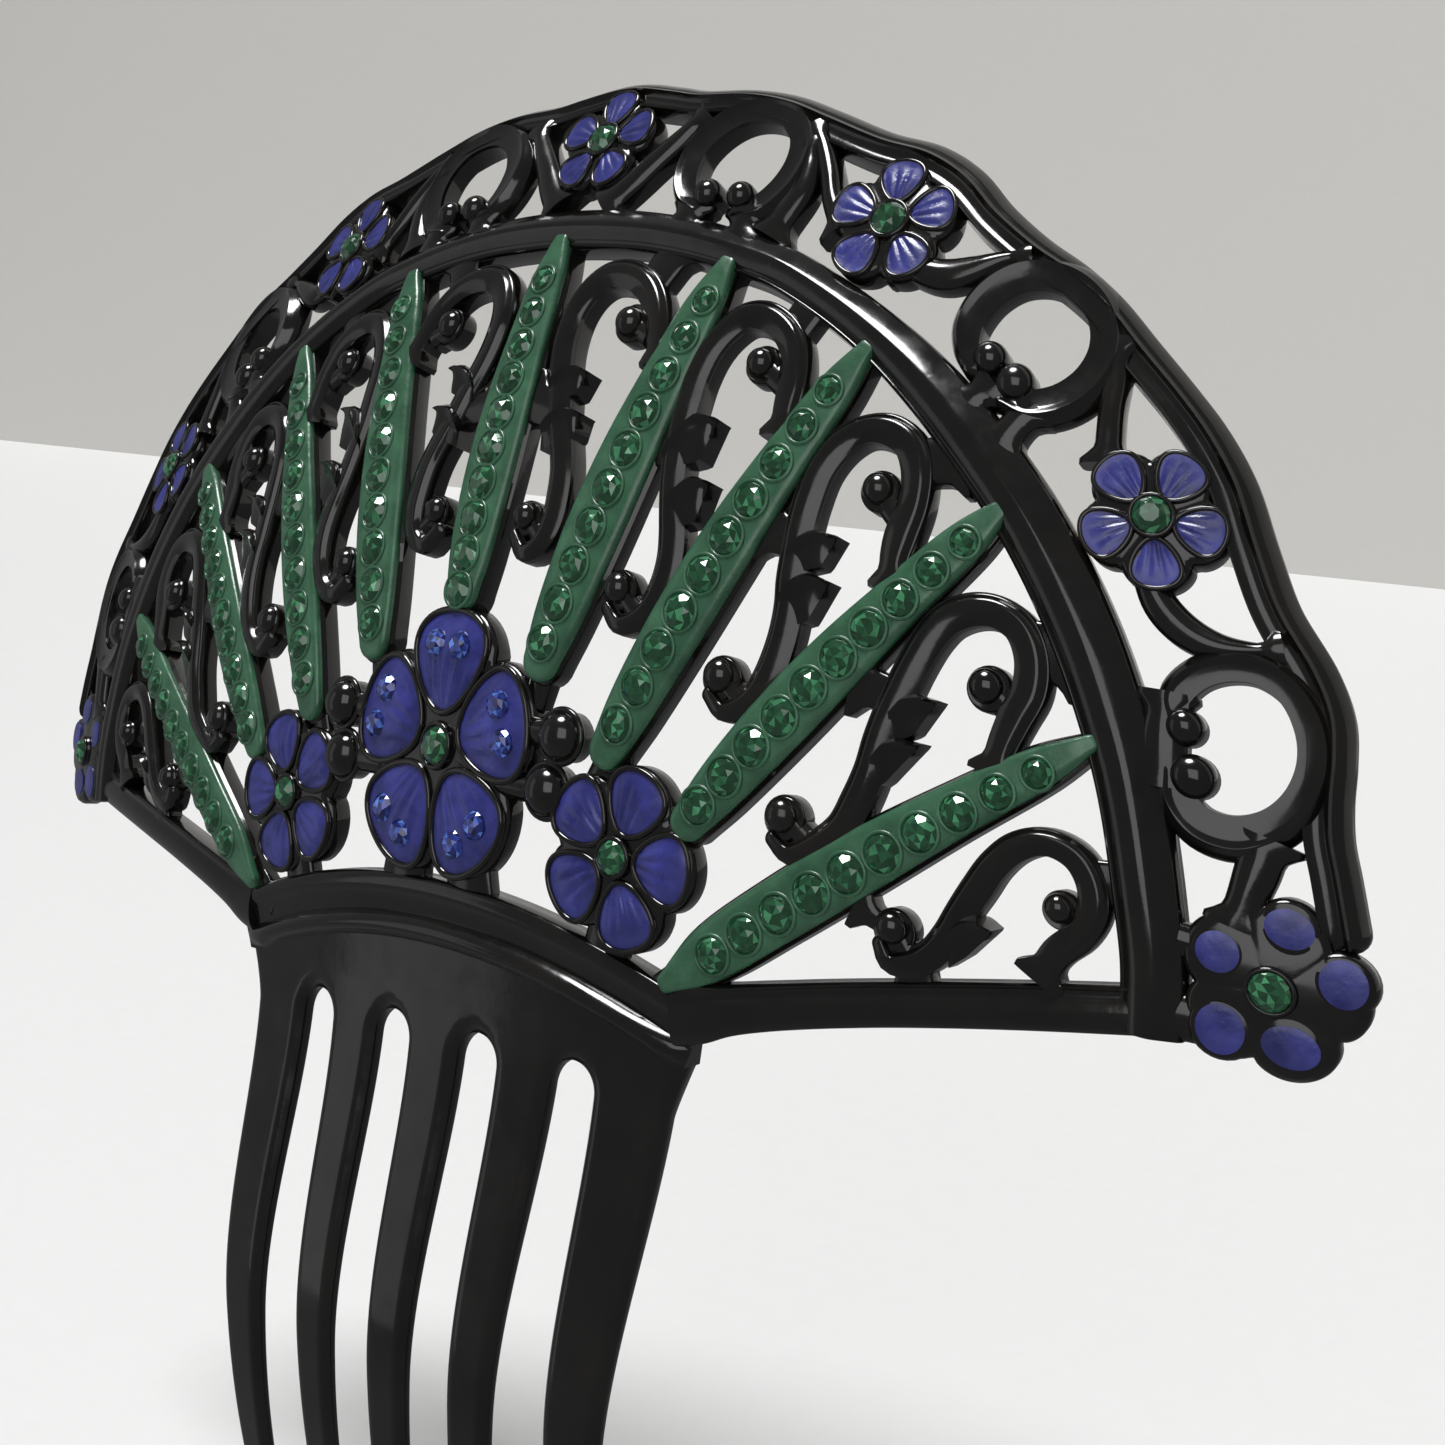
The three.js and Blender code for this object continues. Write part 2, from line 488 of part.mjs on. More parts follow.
// Rays run 1 to 9 from the lowest on the right, over the upright middle one, to the lowest left.
const flipPoint = ([s, t]) => [-s, t];
const flipRay = ({ foot, tip, first, last, width }) => ({
  foot: flipPoint(foot),
  tip: flipPoint(tip),
  first: flipPoint(first),
  last: flipPoint(last),
  width,
});
const ALL_RAYS = [...RAYS, ...RAYS.slice(0, -1).reverse().map(flipRay)];
ALL_RAYS.forEach((ray, i) => {
  const line = rayLine(ray);
  addMember("ray_" + (i + 1), bar(line, { shoulder: 0.3, steps: 8 }), grown(line, 8));
  bentMesh("ray_stones_" + (i + 1), rayStones(ray), GREEN);
});

const outerLine = [...OUTER_RAIL, ...mirrored(OUTER_RAIL.slice(0, -1)).reverse()];
addMember("outer_rail", bar(outerLine, { shoulder: -0.2, crown: 0.5, steps: 52 }), grown(outerLine, 52));

const flipFlower = (f) => ({
  ...f,
  centre: flipPoint(f.centre),
  angle: Math.PI - f.angle,
  webs: f.webs.map(mirrored),
});
const ALL_FLOWERS = [...BORDER_FLOWERS, ...BORDER_FLOWERS.slice(0, -1).reverse().map(flipFlower)];
ALL_FLOWERS.forEach((f, i) => {
  const webs = f.webs.map((line) => bar(line, { shoulder: -0.4, ridge: 0.2, steps: 1 }));
  addMember("border_flower_" + (i + 1), joined([flowerBody(f), ...webs]), flowerBody(f, GAP, DEEP));
});

const flipRing = ({ arc, balls, stems }) => ({
  arc: mirrored(arc),
  balls: mirrored(balls),
  stems: stems.map(mirrored),
});
[...RINGS, ...[...RINGS].reverse().map(flipRing)].forEach((one, i) => {
  addMember("ring_" + (i + 1), ring(one));
});

const flipScroll = ({ stem, balls, barbs, ties }) => ({
  stem: mirrored(stem),
  balls: mirrored(balls),
  barbs: barbs.map(mirrored),
  ties: ties.map(mirrored),
});
[...SCROLLS, ...[...SCROLLS].reverse().map(flipScroll)].forEach((one, i) => {
  addMember("scroll_" + (i + 1), scroll(one));
});

const STONE_FLOWERS = [
  ...ALL_FLOWERS,
  { ...SIDE_FLOWER, centre: [-SIDE_FLOWER.centre[0], SIDE_FLOWER.centre[1]] },
  CENTRE_FLOWER,
  SIDE_FLOWER,
];
STONE_FLOWERS.forEach(({ centre, stone }, i) => {
  const back = 0.9 + STONE_LIFT;
  const levels = { back, shoulder: back + 0.4, crown: back + 0.8, top: 0.6 };
  bentMesh("flower_stone_" + (i + 1), knob(centre, stone, levels, 10), GREEN);
});

// The blue stones, two to a petal of the centre flower, joined by the slim band they are set along.
function blueStones({ centre, angle }) {
  const back = 0.9 + STONE_LIFT;
  const spots = [];
  for (let i = 0; i < 10; i++) {
    const petal = angle - (2 * Math.PI * Math.floor(i / 2)) / 5;
    const a = petal + (i % 2 ? -1 : 1) * BLUE_SPREAD;
    spots.push([centre[0] + BLUE_REACH * Math.cos(a), centre[1] + BLUE_REACH * Math.sin(a)]);
  }
  const band = { back, shoulder: back + 0.2, crown: back + 0.3, steps: 1 };
  const links = spots.slice(1).map((spot, i) => bar([[...spots[i], 0.35], [...spot, 0.35]], band));
  const stones = spots.map((spot) => knob(spot, 1.25, { back, shoulder: null, crown: back + 0.8, top: 0.6 }, 6));
  return joined([...links, ...stones]);
}
bentMesh("blue_stones", blueStones(CENTRE_FLOWER), BLUE);

export default comb;
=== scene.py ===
import math

import bpy
import numpy as np
from mathutils import Matrix, Vector


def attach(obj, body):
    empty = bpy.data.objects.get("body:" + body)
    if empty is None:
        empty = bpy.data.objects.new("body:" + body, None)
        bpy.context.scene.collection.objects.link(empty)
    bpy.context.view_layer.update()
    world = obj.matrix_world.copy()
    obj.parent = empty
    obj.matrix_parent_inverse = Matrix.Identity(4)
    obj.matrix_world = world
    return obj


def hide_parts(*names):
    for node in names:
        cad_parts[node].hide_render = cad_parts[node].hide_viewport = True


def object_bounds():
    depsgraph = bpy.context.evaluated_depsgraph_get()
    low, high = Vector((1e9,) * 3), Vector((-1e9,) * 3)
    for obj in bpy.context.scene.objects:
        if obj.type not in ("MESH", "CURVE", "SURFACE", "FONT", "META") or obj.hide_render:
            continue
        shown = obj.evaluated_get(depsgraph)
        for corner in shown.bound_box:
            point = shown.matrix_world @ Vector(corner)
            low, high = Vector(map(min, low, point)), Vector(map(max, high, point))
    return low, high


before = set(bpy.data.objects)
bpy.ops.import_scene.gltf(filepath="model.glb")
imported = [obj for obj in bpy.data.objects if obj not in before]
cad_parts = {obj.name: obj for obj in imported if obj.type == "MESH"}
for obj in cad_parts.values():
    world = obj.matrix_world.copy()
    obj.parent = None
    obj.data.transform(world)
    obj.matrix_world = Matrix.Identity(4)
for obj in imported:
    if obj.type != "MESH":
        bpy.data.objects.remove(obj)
cad_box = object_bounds()

MM = 0.001

# ---- The comb's curved face: the same double curve as the CAD, in millimetres ----
BOW_RADIUS = 216.0  # sideways curve at the foot of the crest
BOW_TIGHTENING = 0.253  # share of that radius lost over 100 mm up the crest
BOW_DIP = 0.349  # how far the sideways curve tips downwards, in radians
LEAN_RADIUS = 135.6  # backward lean of the crest
TOOTH_LENGTH = 62.0
TOOTH_BULGE, BULGE_DROP = 5.9, 34.0  # how far the teeth swing forward, and over what drop
RETURN_RADIUS = 90.0  # of their curve back again below that


def on_face(s, t):
    """Where the flat sheet's point (s across, t up) lies on the curved face."""
    lean = np.maximum(t, 0) / LEAN_RADIUS
    x = np.clip(-t / BULGE_DROP, 0, 1)
    past = np.maximum(-t - BULGE_DROP, 0)
    below = -TOOTH_BULGE * x * x * (3 - 2 * x) + past**2 / (2 * RETURN_RADIUS)
    mid_y = np.where(t >= 0, LEAN_RADIUS * (1 - np.cos(lean)), below)
    mid_z = np.where(t >= 0, LEAN_RADIUS * np.sin(lean), t)
    radius = BOW_RADIUS * (1 - BOW_TIGHTENING * t / 100)
    sag = radius * (1 - np.cos(s / radius))
    across, dip = radius * np.sin(s / radius), lean + BOW_DIP
    return np.stack([across, mid_y + sag * np.cos(dip), mid_z - sag * np.sin(dip)], -1)


def bend(points):
    """Flat-sheet points (s across, t up, h out of the front) in millimetres, bent, in metres."""
    p = np.asarray(points, float).reshape(-1, 3)
    s, t, h = p[:, 0], p[:, 1], p[:, 2]
    e = 0.05  # half the step over which the slope of the face is taken
    across = on_face(s + e, t) - on_face(s - e, t)
    up = on_face(s, t + e) - on_face(s, t - e)
    out = np.cross(across, up)
    out /= np.linalg.norm(out, axis=1)[:, None]
    return (on_face(s, t) + out * h[:, None]) * MM


# ---- Meshes drawn flat ----


class Flat:
    """Flat-sheet geometry under construction: points, and faces that number them."""

    def __init__(self):
        self.points, self.faces, self.count = [], [], 0

    def add(self, points, faces):
        points = np.asarray(points, float).reshape(-1, 3)
        self.points.append(points)
        self.faces += [[i + self.count for i in f] for f in faces]
        self.count += len(points)
        return self

    def mirrored(self):
        other = Flat()
        other.points = [p * np.array([-1, 1, 1]) for p in self.points]
        other.faces = [f[::-1] for f in self.faces]
        other.count = self.count
        return other


def signed_volume(points, faces):
    total = 0.0
    for f in faces:
        a = points[f[0]]
        for i in range(1, len(f) - 1):
            total += np.dot(a, np.cross(points[f[i]], points[f[i + 1]]))
    return total


def outward(points, faces):
    """The points and faces, with the faces turned round if they look inwards."""
    points = np.asarray(points, float).reshape(-1, 3)
    if signed_volume(points - points.mean(0), faces) < 0:
        faces = [f[::-1] for f in faces]
    return points, faces


def loft(loops, closed=False):
    """Joins equal loops (n, m, 3) into one skin, capped at both ends unless it closes on itself."""
    loops = np.asarray(loops, float)
    n, m = loops.shape[:2]
    faces = []
    for k in range(n if closed else n - 1):
        k2 = (k + 1) % n
        for i in range(m):
            j = (i + 1) % m
            faces.append([k * m + i, k * m + j, k2 * m + j, k2 * m + i])
    if not closed:
        faces.append(list(range(m))[::-1])
        faces.append([(n - 1) * m + i for i in range(m)])
    return outward(loops, faces)


LINE_STEP = 0.45  # distance between the sections of a bar
CURVE_PARTS = 24  # parts between two given points of a line, before it is resampled
MEMBER_BACK = -1.7  # height of a member's back
SQUARE_ENDS = (False, False)
FILLET = 1.1  # radius with which a flared end widens
BURIED = 0.8  # how far a flared end runs into its neighbour


def run_along(line):
    """Distances from the start of a line to each of its points."""
    return np.concatenate([[0], np.cumsum(np.linalg.norm(np.diff(line, axis=0), axis=1))])


def smooth_line(points, step=LINE_STEP):
    """Centripetal Catmull-Rom through [s, t, half width], resampled evenly."""
    p = np.asarray(points, float)
    if len(p) == 2:
        n = max(2, int(np.linalg.norm(p[1, :2] - p[0, :2]) / step) + 1)
        return p[0] + (p[1] - p[0]) * np.linspace(0, 1, n)[:, None]
    ext = np.vstack([2 * p[0] - p[1], p, 2 * p[-1] - p[-2]])
    dense = []
    for i in range(1, len(ext) - 2):
        p0, p1, p2, p3 = ext[i - 1 : i + 3]
        d = [max(np.linalg.norm(b - a) ** 0.5, 1e-4) for a, b in ((p0, p1), (p1, p2), (p2, p3))]
        m1 = (p1 - p0) / d[0] - (p2 - p0) / (d[0] + d[1]) + (p2 - p1) / d[1]
        m2 = (p2 - p1) / d[1] - (p3 - p1) / (d[1] + d[2]) + (p3 - p2) / d[2]
        m1, m2 = m1 * d[1], m2 * d[1]
        u = np.linspace(0, 1, CURVE_PARTS, endpoint=False)[:, None]
        dense.append(
            (2 * u**3 - 3 * u**2 + 1) * p1 + (u**3 - 2 * u**2 + u) * m1
            + (-2 * u**3 + 3 * u**2) * p2 + (u**3 - u**2) * m2
        )
    dense = np.vstack([*dense, ext[-2:-1]])
    run = run_along(dense[:, :2])
    at = np.linspace(0, run[-1], max(3, int(run[-1] / step) + 1))
    return np.stack([np.interp(at, run, dense[:, k]) for k in range(3)], -1)


def rounded_end(at, away, along, width):
    """Sections that carry a bar past its end in a quarter circle."""
    sections = []
    for a in np.linspace(0, math.pi / 2, 7)[1:]:
        fall = math.cos(a)
        sections.append((at + away * width * math.sin(a), along, width * max(fall, 0.02), fall))
    return sections


def sweep(
    points, top, back=MEMBER_BACK, step=LINE_STEP, ends=(True, True), samples=15, flares=(False, False)
):
    """A bar along a line of [s, t, half width].

    top(k) is the height of its front at k from -1 to 1 across. ends says which ends are rounded,
    and flares which ones widen where they run into a neighbour.
    """
    line = smooth_line(points, step)
    run = run_along(line[:, :2])
    for flared, left in zip(flares, (run, run[-1] - run)):
        if flared:
            x = np.clip((FILLET + BURIED - left) / FILLET, 0, 1)
            line[:, 2] += FILLET * (1 - np.sqrt(1 - x * x))
    along = np.gradient(line[:, :2], axis=0)
    along /= np.linalg.norm(along, axis=1)[:, None]
    rows = [(line[i, :2], along[i], line[i, 2], 1.0) for i in range(len(line))]
    if ends[1]:
        rows += rounded_end(line[-1, :2], along[-1], along[-1], line[-1, 2])
    if ends[0]:
        rows = rounded_end(line[0, :2], -along[0], along[0], line[0, 2])[::-1] + rows
    ks = -np.cos(np.linspace(0, math.pi, samples))
    heights = np.array([top(k) for k in ks])
    low = heights[0]
    loops = []
    for at, a, w, fall in rows:
        side = np.array([-a[1], a[0]])
        scale = min(1.0, w)
        section = [(-0.92, back), (-1, back + 0.25)]
        section += [(k, low + (h - low) * fall**0.5 * scale**0.5) for k, h in zip(ks, heights)]
        section += [(1, back + 0.25), (0.92, back)]
        loops.append([[*(at + side * k * w), h] for k, h in section])
    return loft(loops)


def full_turn(sides):
    return np.linspace(0, 2 * math.pi, sides, endpoint=False)


def circle(centre, radius, height, angles):
    return [[centre[0] + radius * math.cos(a), centre[1] + radius * math.sin(a), height] for a in angles]


def lathe(centre, profile, sides=28):
    """Turned boss about (s, t): profile is [(radius, h), ...] from the back to the front."""
    return loft([circle(centre, r, h, full_turn(sides)) for r, h in profile])


def ball(centre, radius, crown=1.25, back=MEMBER_BACK):
    """A dome on a round post."""
    seat = 0.05  # height at which the dome begins
    profile = [(radius * 0.9, back), (radius, back + 0.3)]
    for a in np.linspace(0, math.pi / 2, 9):
        profile.append((radius * max(math.cos(a), 0.03), seat + (crown - seat) * math.sin(a)))
    return lathe(centre, profile)


EYE_DISC = [(0.92, -1.7), (1, -1.45), (1, -0.15), (0.96, 0.12), (0.88, 0.24), (0.8, 0.2), (0.1, 0.15)]


def volute(centre, radius, neck_to, neck_width, flat):
    """A scroll's eye: a low disc joined to its limb by a neck, with a ball standing on it off-centre."""
    c, away = np.array(centre, float), np.array(neck_to, float)
    away = (away - c) / np.linalg.norm(away - c)
    flat.add(*lathe(c, [(radius * r, h) for r, h in EYE_DISC]))
    flat.add(*ball(c - away * radius * 0.16, radius * 0.76, crown=1.15, back=-0.4))
    neck = [(*c, neck_width), (*neck_to, neck_width)]
    flat.add(*sweep(neck, half_round(-0.35, 0.3), ends=SQUARE_ENDS))


LEAF_HIGH, LEAF_LOW, LEAF_BACK = 1.0, 0.35, -1.6  # heights of its near edge, far edge and back
LEAF_LENGTHS, LEAF_WIDTHS = 14, 9  # points along it and across it
LEAF_EDGE = {0: -0.35, 1: 0.3, 2: 0.16}  # the near edge falls away beside a fine rim


def leaf(near, far, flat):
    """A closed leaf between a near and a far edge line, its front falling from near to far."""

    def spread(points):
        p = np.asarray(points, float)
        run = run_along(p)
        at = np.linspace(0, run[-1], LEAF_LENGTHS)
        return np.stack([np.interp(at, run, p[:, 0]), np.interp(at, run, p[:, 1])], -1)

    a, b = spread(smooth_line([(*p, 1) for p in near], 0.2)[:, :2]), spread(far)
    loops = []
    for i in range(LEAF_LENGTHS):
        u = i / (LEAF_LENGTHS - 1)
        brow = 1 - (2 * u - 1) ** 4
        row = []
        for j in range(LEAF_WIDTHS):
            v = j / (LEAF_WIDTHS - 1)
            h = LEAF_HIGH + (LEAF_LOW - LEAF_HIGH) * v**0.8 - 0.25 * (1 - brow) + LEAF_EDGE.get(j, 0.0)
            row.append([*(a[i] + (b[i] - a[i]) * v), h])
        row += [[*b[i], LEAF_BACK], [*a[i], LEAF_BACK]]
        loops.append(row)
    flat.add(*loft(loops))


def tube(points, radius, sides=10):
    """A round tube closed on itself through [s, t, h] points."""
    p = np.asarray(points, float)
    along = np.roll(p, -1, 0) - np.roll(p, 1, 0)
    along /= np.linalg.norm(along, axis=1)[:, None]
    side = np.cross(np.array([0, 0, 1.0]), along)
    side /= np.linalg.norm(side, axis=1)[:, None]
    up = np.cross(along, side)
    loops = []
    for at, out, rise in zip(p, side, up):
        loops.append([at + radius * (out * math.cos(a) + rise * math.sin(a)) for a in full_turn(sides)])
    return loft(loops, closed=True)


# ---- Materials ----


def new_material(name):
    mat = bpy.data.materials.new(name)
    mat.use_nodes = True
    nodes, links = mat.node_tree.nodes, mat.node_tree.links
    return mat, nodes, links, nodes["Principled BSDF"]


def noise(nodes, links, coords, scale, detail):
    tex = nodes.new("ShaderNodeTexNoise")
    tex.inputs["Scale"].default_value = scale
    tex.inputs["Detail"].default_value = detail
    links.new(coords.outputs["Object"], tex.inputs["Vector"])
    return tex.outputs["Fac"]


def ramp(nodes, links, source, stops):
    node = nodes.new("ShaderNodeValToRGB")
    links.new(source, node.inputs["Fac"])
    elements = node.color_ramp.elements
    while len(elements) < len(stops):
        elements.new(0.5)
    for element, (pos, colour) in zip(elements, stops):
        element.position = pos
        element.color = (*colour, 1)
    return node.outputs["Color"]


def grey(*stops):
    return [(pos, (v, v, v)) for pos, v in stops]


def bump(nodes, links, shader, height, strength, distance):
    node = nodes.new("ShaderNodeBump")
    node.inputs["Strength"].default_value = strength
    node.inputs["Distance"].default_value = distance
    links.new(height, node.inputs["Height"])
    links.new(node.outputs["Normal"], shader.inputs["Normal"])


BUMP_DEPTH = 0.00015  # metres


def celluloid():
    """Polished black, with faint clouds and smears of wear."""
    mat, nodes, links, shader = new_material("black_celluloid")
    coords = nodes.new("ShaderNodeTexCoord")
    cloud = noise(nodes, links, coords, 120, 5)
    links.new(
        ramp(nodes, links, cloud, [(0.3, (0.0022, 0.0021, 0.002)), (0.75, (0.0075, 0.0064, 0.0054))]),
        shader.inputs["Base Color"],
    )
    smear = noise(nodes, links, coords, 420, 6)
    links.new(ramp(nodes, links, smear, grey((0.35, 0.09), (0.7, 0.21))), shader.inputs["Roughness"])
    fine = noise(nodes, links, coords, 1500, 3)
    broad = noise(nodes, links, coords, 260, 3)
    mix = nodes.new("ShaderNodeMath")
    mix.operation = "MULTIPLY_ADD"
    mix.inputs[1].default_value = 0.18
    links.new(fine, mix.inputs[0])
    links.new(broad, mix.inputs[2])
    bump(nodes, links, shader, mix.outputs["Value"], 0.22, BUMP_DEPTH)
    shader.inputs["IOR"].default_value = 1.46
    shader.inputs["Coat Weight"].default_value = 0.4
    shader.inputs["Coat Roughness"].default_value = 0.08
    return mat


def enamel(name, dark, light):
    """Hand-laid paint that is thicker and thinner in places."""
    mat, nodes, links, shader = new_material(name)
    coords = nodes.new("ShaderNodeTexCoord")
    cloud = noise(nodes, links, coords, 380, 5)
    links.new(ramp(nodes, links, cloud, [(0.32, dark), (0.72, light)]), shader.inputs["Base Color"])
    dull = noise(nodes, links, coords, 700, 4)
    links.new(ramp(nodes, links, dull, grey((0.35, 0.24), (0.7, 0.42))), shader.inputs["Roughness"])
    fine = noise(nodes, links, coords, 1100, 4)
    bump(nodes, links, shader, fine, 0.4, BUMP_DEPTH)
    shader.inputs["Coat Weight"].default_value = 0.3
    shader.inputs["Coat Roughness"].default_value = 0.15
    return mat


def cut_glass(name, stops):
    """Foiled glass, its faces each a random lightness from the dark to the bright stop: painted reflections
    of the foil.
    """
    mat, nodes, links, shader = new_material(name)
    facet_reflection = nodes.new("ShaderNodeAttribute")
    facet_reflection.attribute_name = "facet_reflection"
    links.new(ramp(nodes, links, facet_reflection.outputs["Fac"], stops), shader.inputs["Base Color"])
    coords = nodes.new("ShaderNodeTexCoord")
    wear = noise(nodes, links, coords, 2500, 3)
    links.new(ramp(nodes, links, wear, grey((0.4, 0.03), (0.8, 0.14))), shader.inputs["Roughness"])
    shader.inputs["Metallic"].default_value = 0.25
    shader.inputs["IOR"].default_value = 1.6
    shader.inputs["Coat Weight"].default_value = 0.8
    shader.inputs["Coat Roughness"].default_value = 0.02
    return mat


BLACK = celluloid()
GREEN_PAINT = enamel("green_enamel", (0.018, 0.072, 0.036), (0.040, 0.128, 0.068))
BLUE_PAINT = enamel("blue_enamel", (0.011, 0.013, 0.105), (0.033, 0.038, 0.235))
# In both glasses the lighter stops are painted reflections of the foil and the facets behind, given to
# random faces.
GREEN_GLASS = cut_glass(
    "green_glass", [(0.0, (0.005, 0.040, 0.015)), (0.6, (0.014, 0.088, 0.036)), (1.0, (0.07, 0.30, 0.14))]
)
BLUE_GLASS = cut_glass(
    "blue_glass", [(0.0, (0.004, 0.006, 0.06)), (0.6, (0.018, 0.040, 0.30)), (1.0, (0.12, 0.25, 0.75))]
)


SHARP_ANGLE = math.radians(50)  # edges that turn further stay sharp


def piece(name, flat, material, nodes, facets=None):
    """One visible object from flat-sheet geometry, bent onto the comb.

    facets gives the faces of cut stones a value each, the lightness of their painted reflection, and such a
    piece is shaded flat.
    """
    mesh = bpy.data.meshes.new(name)
    points = bend(np.vstack(flat.points))
    mesh.from_pydata([tuple(p) for p in points], [], flat.faces)
    mesh.update()
    mesh.materials.append(material)
    mesh.polygons.foreach_set("use_smooth", [facets is None] * len(flat.faces))
    if facets is not None:
        layer = mesh.attributes.new("facet_reflection", "FLOAT", "FACE")
        layer.data.foreach_set("value", facets)
    obj = bpy.data.objects.new(name, mesh)
    bpy.context.scene.collection.objects.link(obj)
    if facets is None:
        mesh.set_sharp_from_angle(angle=SHARP_ANGLE)
    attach(obj, "root")
    if nodes:
        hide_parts(*nodes)


# ---- The crest's right half, in millimetres on the flat sheet ----
# A line is a list of (across, up, half width). The left half mirrors it.
# A ray's stones stand from first to last; base is the taper at its foot where RAY_TAPER's is too wide.
RAYS = [
    dict(foot=(27.2, 5.2), tip=(60.2, 31.2), first=(31.7, 8.4), last=(56.8, 28.0), width=2.75, base=0.42),
    dict(foot=(28.1, 18.2), tip=(50.3, 47.4), first=(29.2, 19.6), last=(48.0, 43.9), width=2.8),
    dict(foot=(19.25, 22.5), tip=(35.5, 57.8), first=(20.3, 24.6), last=(33.5, 53.7), width=2.95),
    dict(foot=(10.85, 28.8), tip=(19.8, 63.6), first=(11.1, 30.1), last=(19.2, 60.0), width=3.3),
    dict(foot=(0, 33.6), tip=(0, 65.6), first=(0, 33.6), last=(0, 61.6), width=3.2),
]
RAY_TAPER = [(0, 0.68), (0.1, 0.86), (0.3, 1), (0.5, 0.98), (0.7, 0.84), (0.9, 0.66), (1, 0.36)]

ARCH = [
    (66.9, 10.6, 2.3), (66.6, 16, 2.4), (65.6, 21, 2.5), (63.9, 27.3, 2.55), (62.2, 31.8, 2.65),
    (58.1, 39.3, 2.7), (52.2, 46.8, 2.7), (45.2, 53.1, 2.6), (40.2, 56.7, 2.4), (35.6, 59.4, 2.15),
    (30.1, 62.0, 2.0), (24.5, 64.1, 1.95), (20, 65.1, 1.95), (15, 66.0, 1.95), (10, 66.6, 1.95),
    (5, 66.9, 2.0), (0, 67.0, 2.0),
]
OUTER_RAIL = [
    (79.4, 22.4, 1.75), (78.4, 26, 1.75), (77.5, 29, 1.75), (77.1, 32, 1.7), (76.9, 35, 1.7),
    (76.3, 38, 1.8), (74.8, 40.7, 1.9), (71.4, 44.8, 1.85), (68.9, 49.1, 1.85), (66.4, 53.6, 1.85),
    (63.7, 56.8, 1.85), (60.9, 59.3, 1.8), (57.2, 62.2, 1.8), (53.5, 65.2, 1.7), (50.2, 67.1, 1.7),
    (46.4, 68.7, 1.75), (42.3, 71, 1.8), (38.6, 73.7, 1.85), (34.8, 75.3, 1.85), (29.9, 76.1, 1.75),
    (23.7, 77.9, 1.7), (19.1, 79.3, 1.6), (14.6, 79.95, 1.55), (8.7, 80, 1.55), (5.7, 80.5, 1.55),
    (0, 81.25, 1.6),
]
SILL = [
    (27.5, 3.0, 3.0), (29.6, 3.2, 2.6), (32.2, 3.9, 2.1), (36, 5.0, 1.9), (44, 7.1, 1.8),
    (54, 9.5, 1.8), (66, 12.3, 1.9),
]

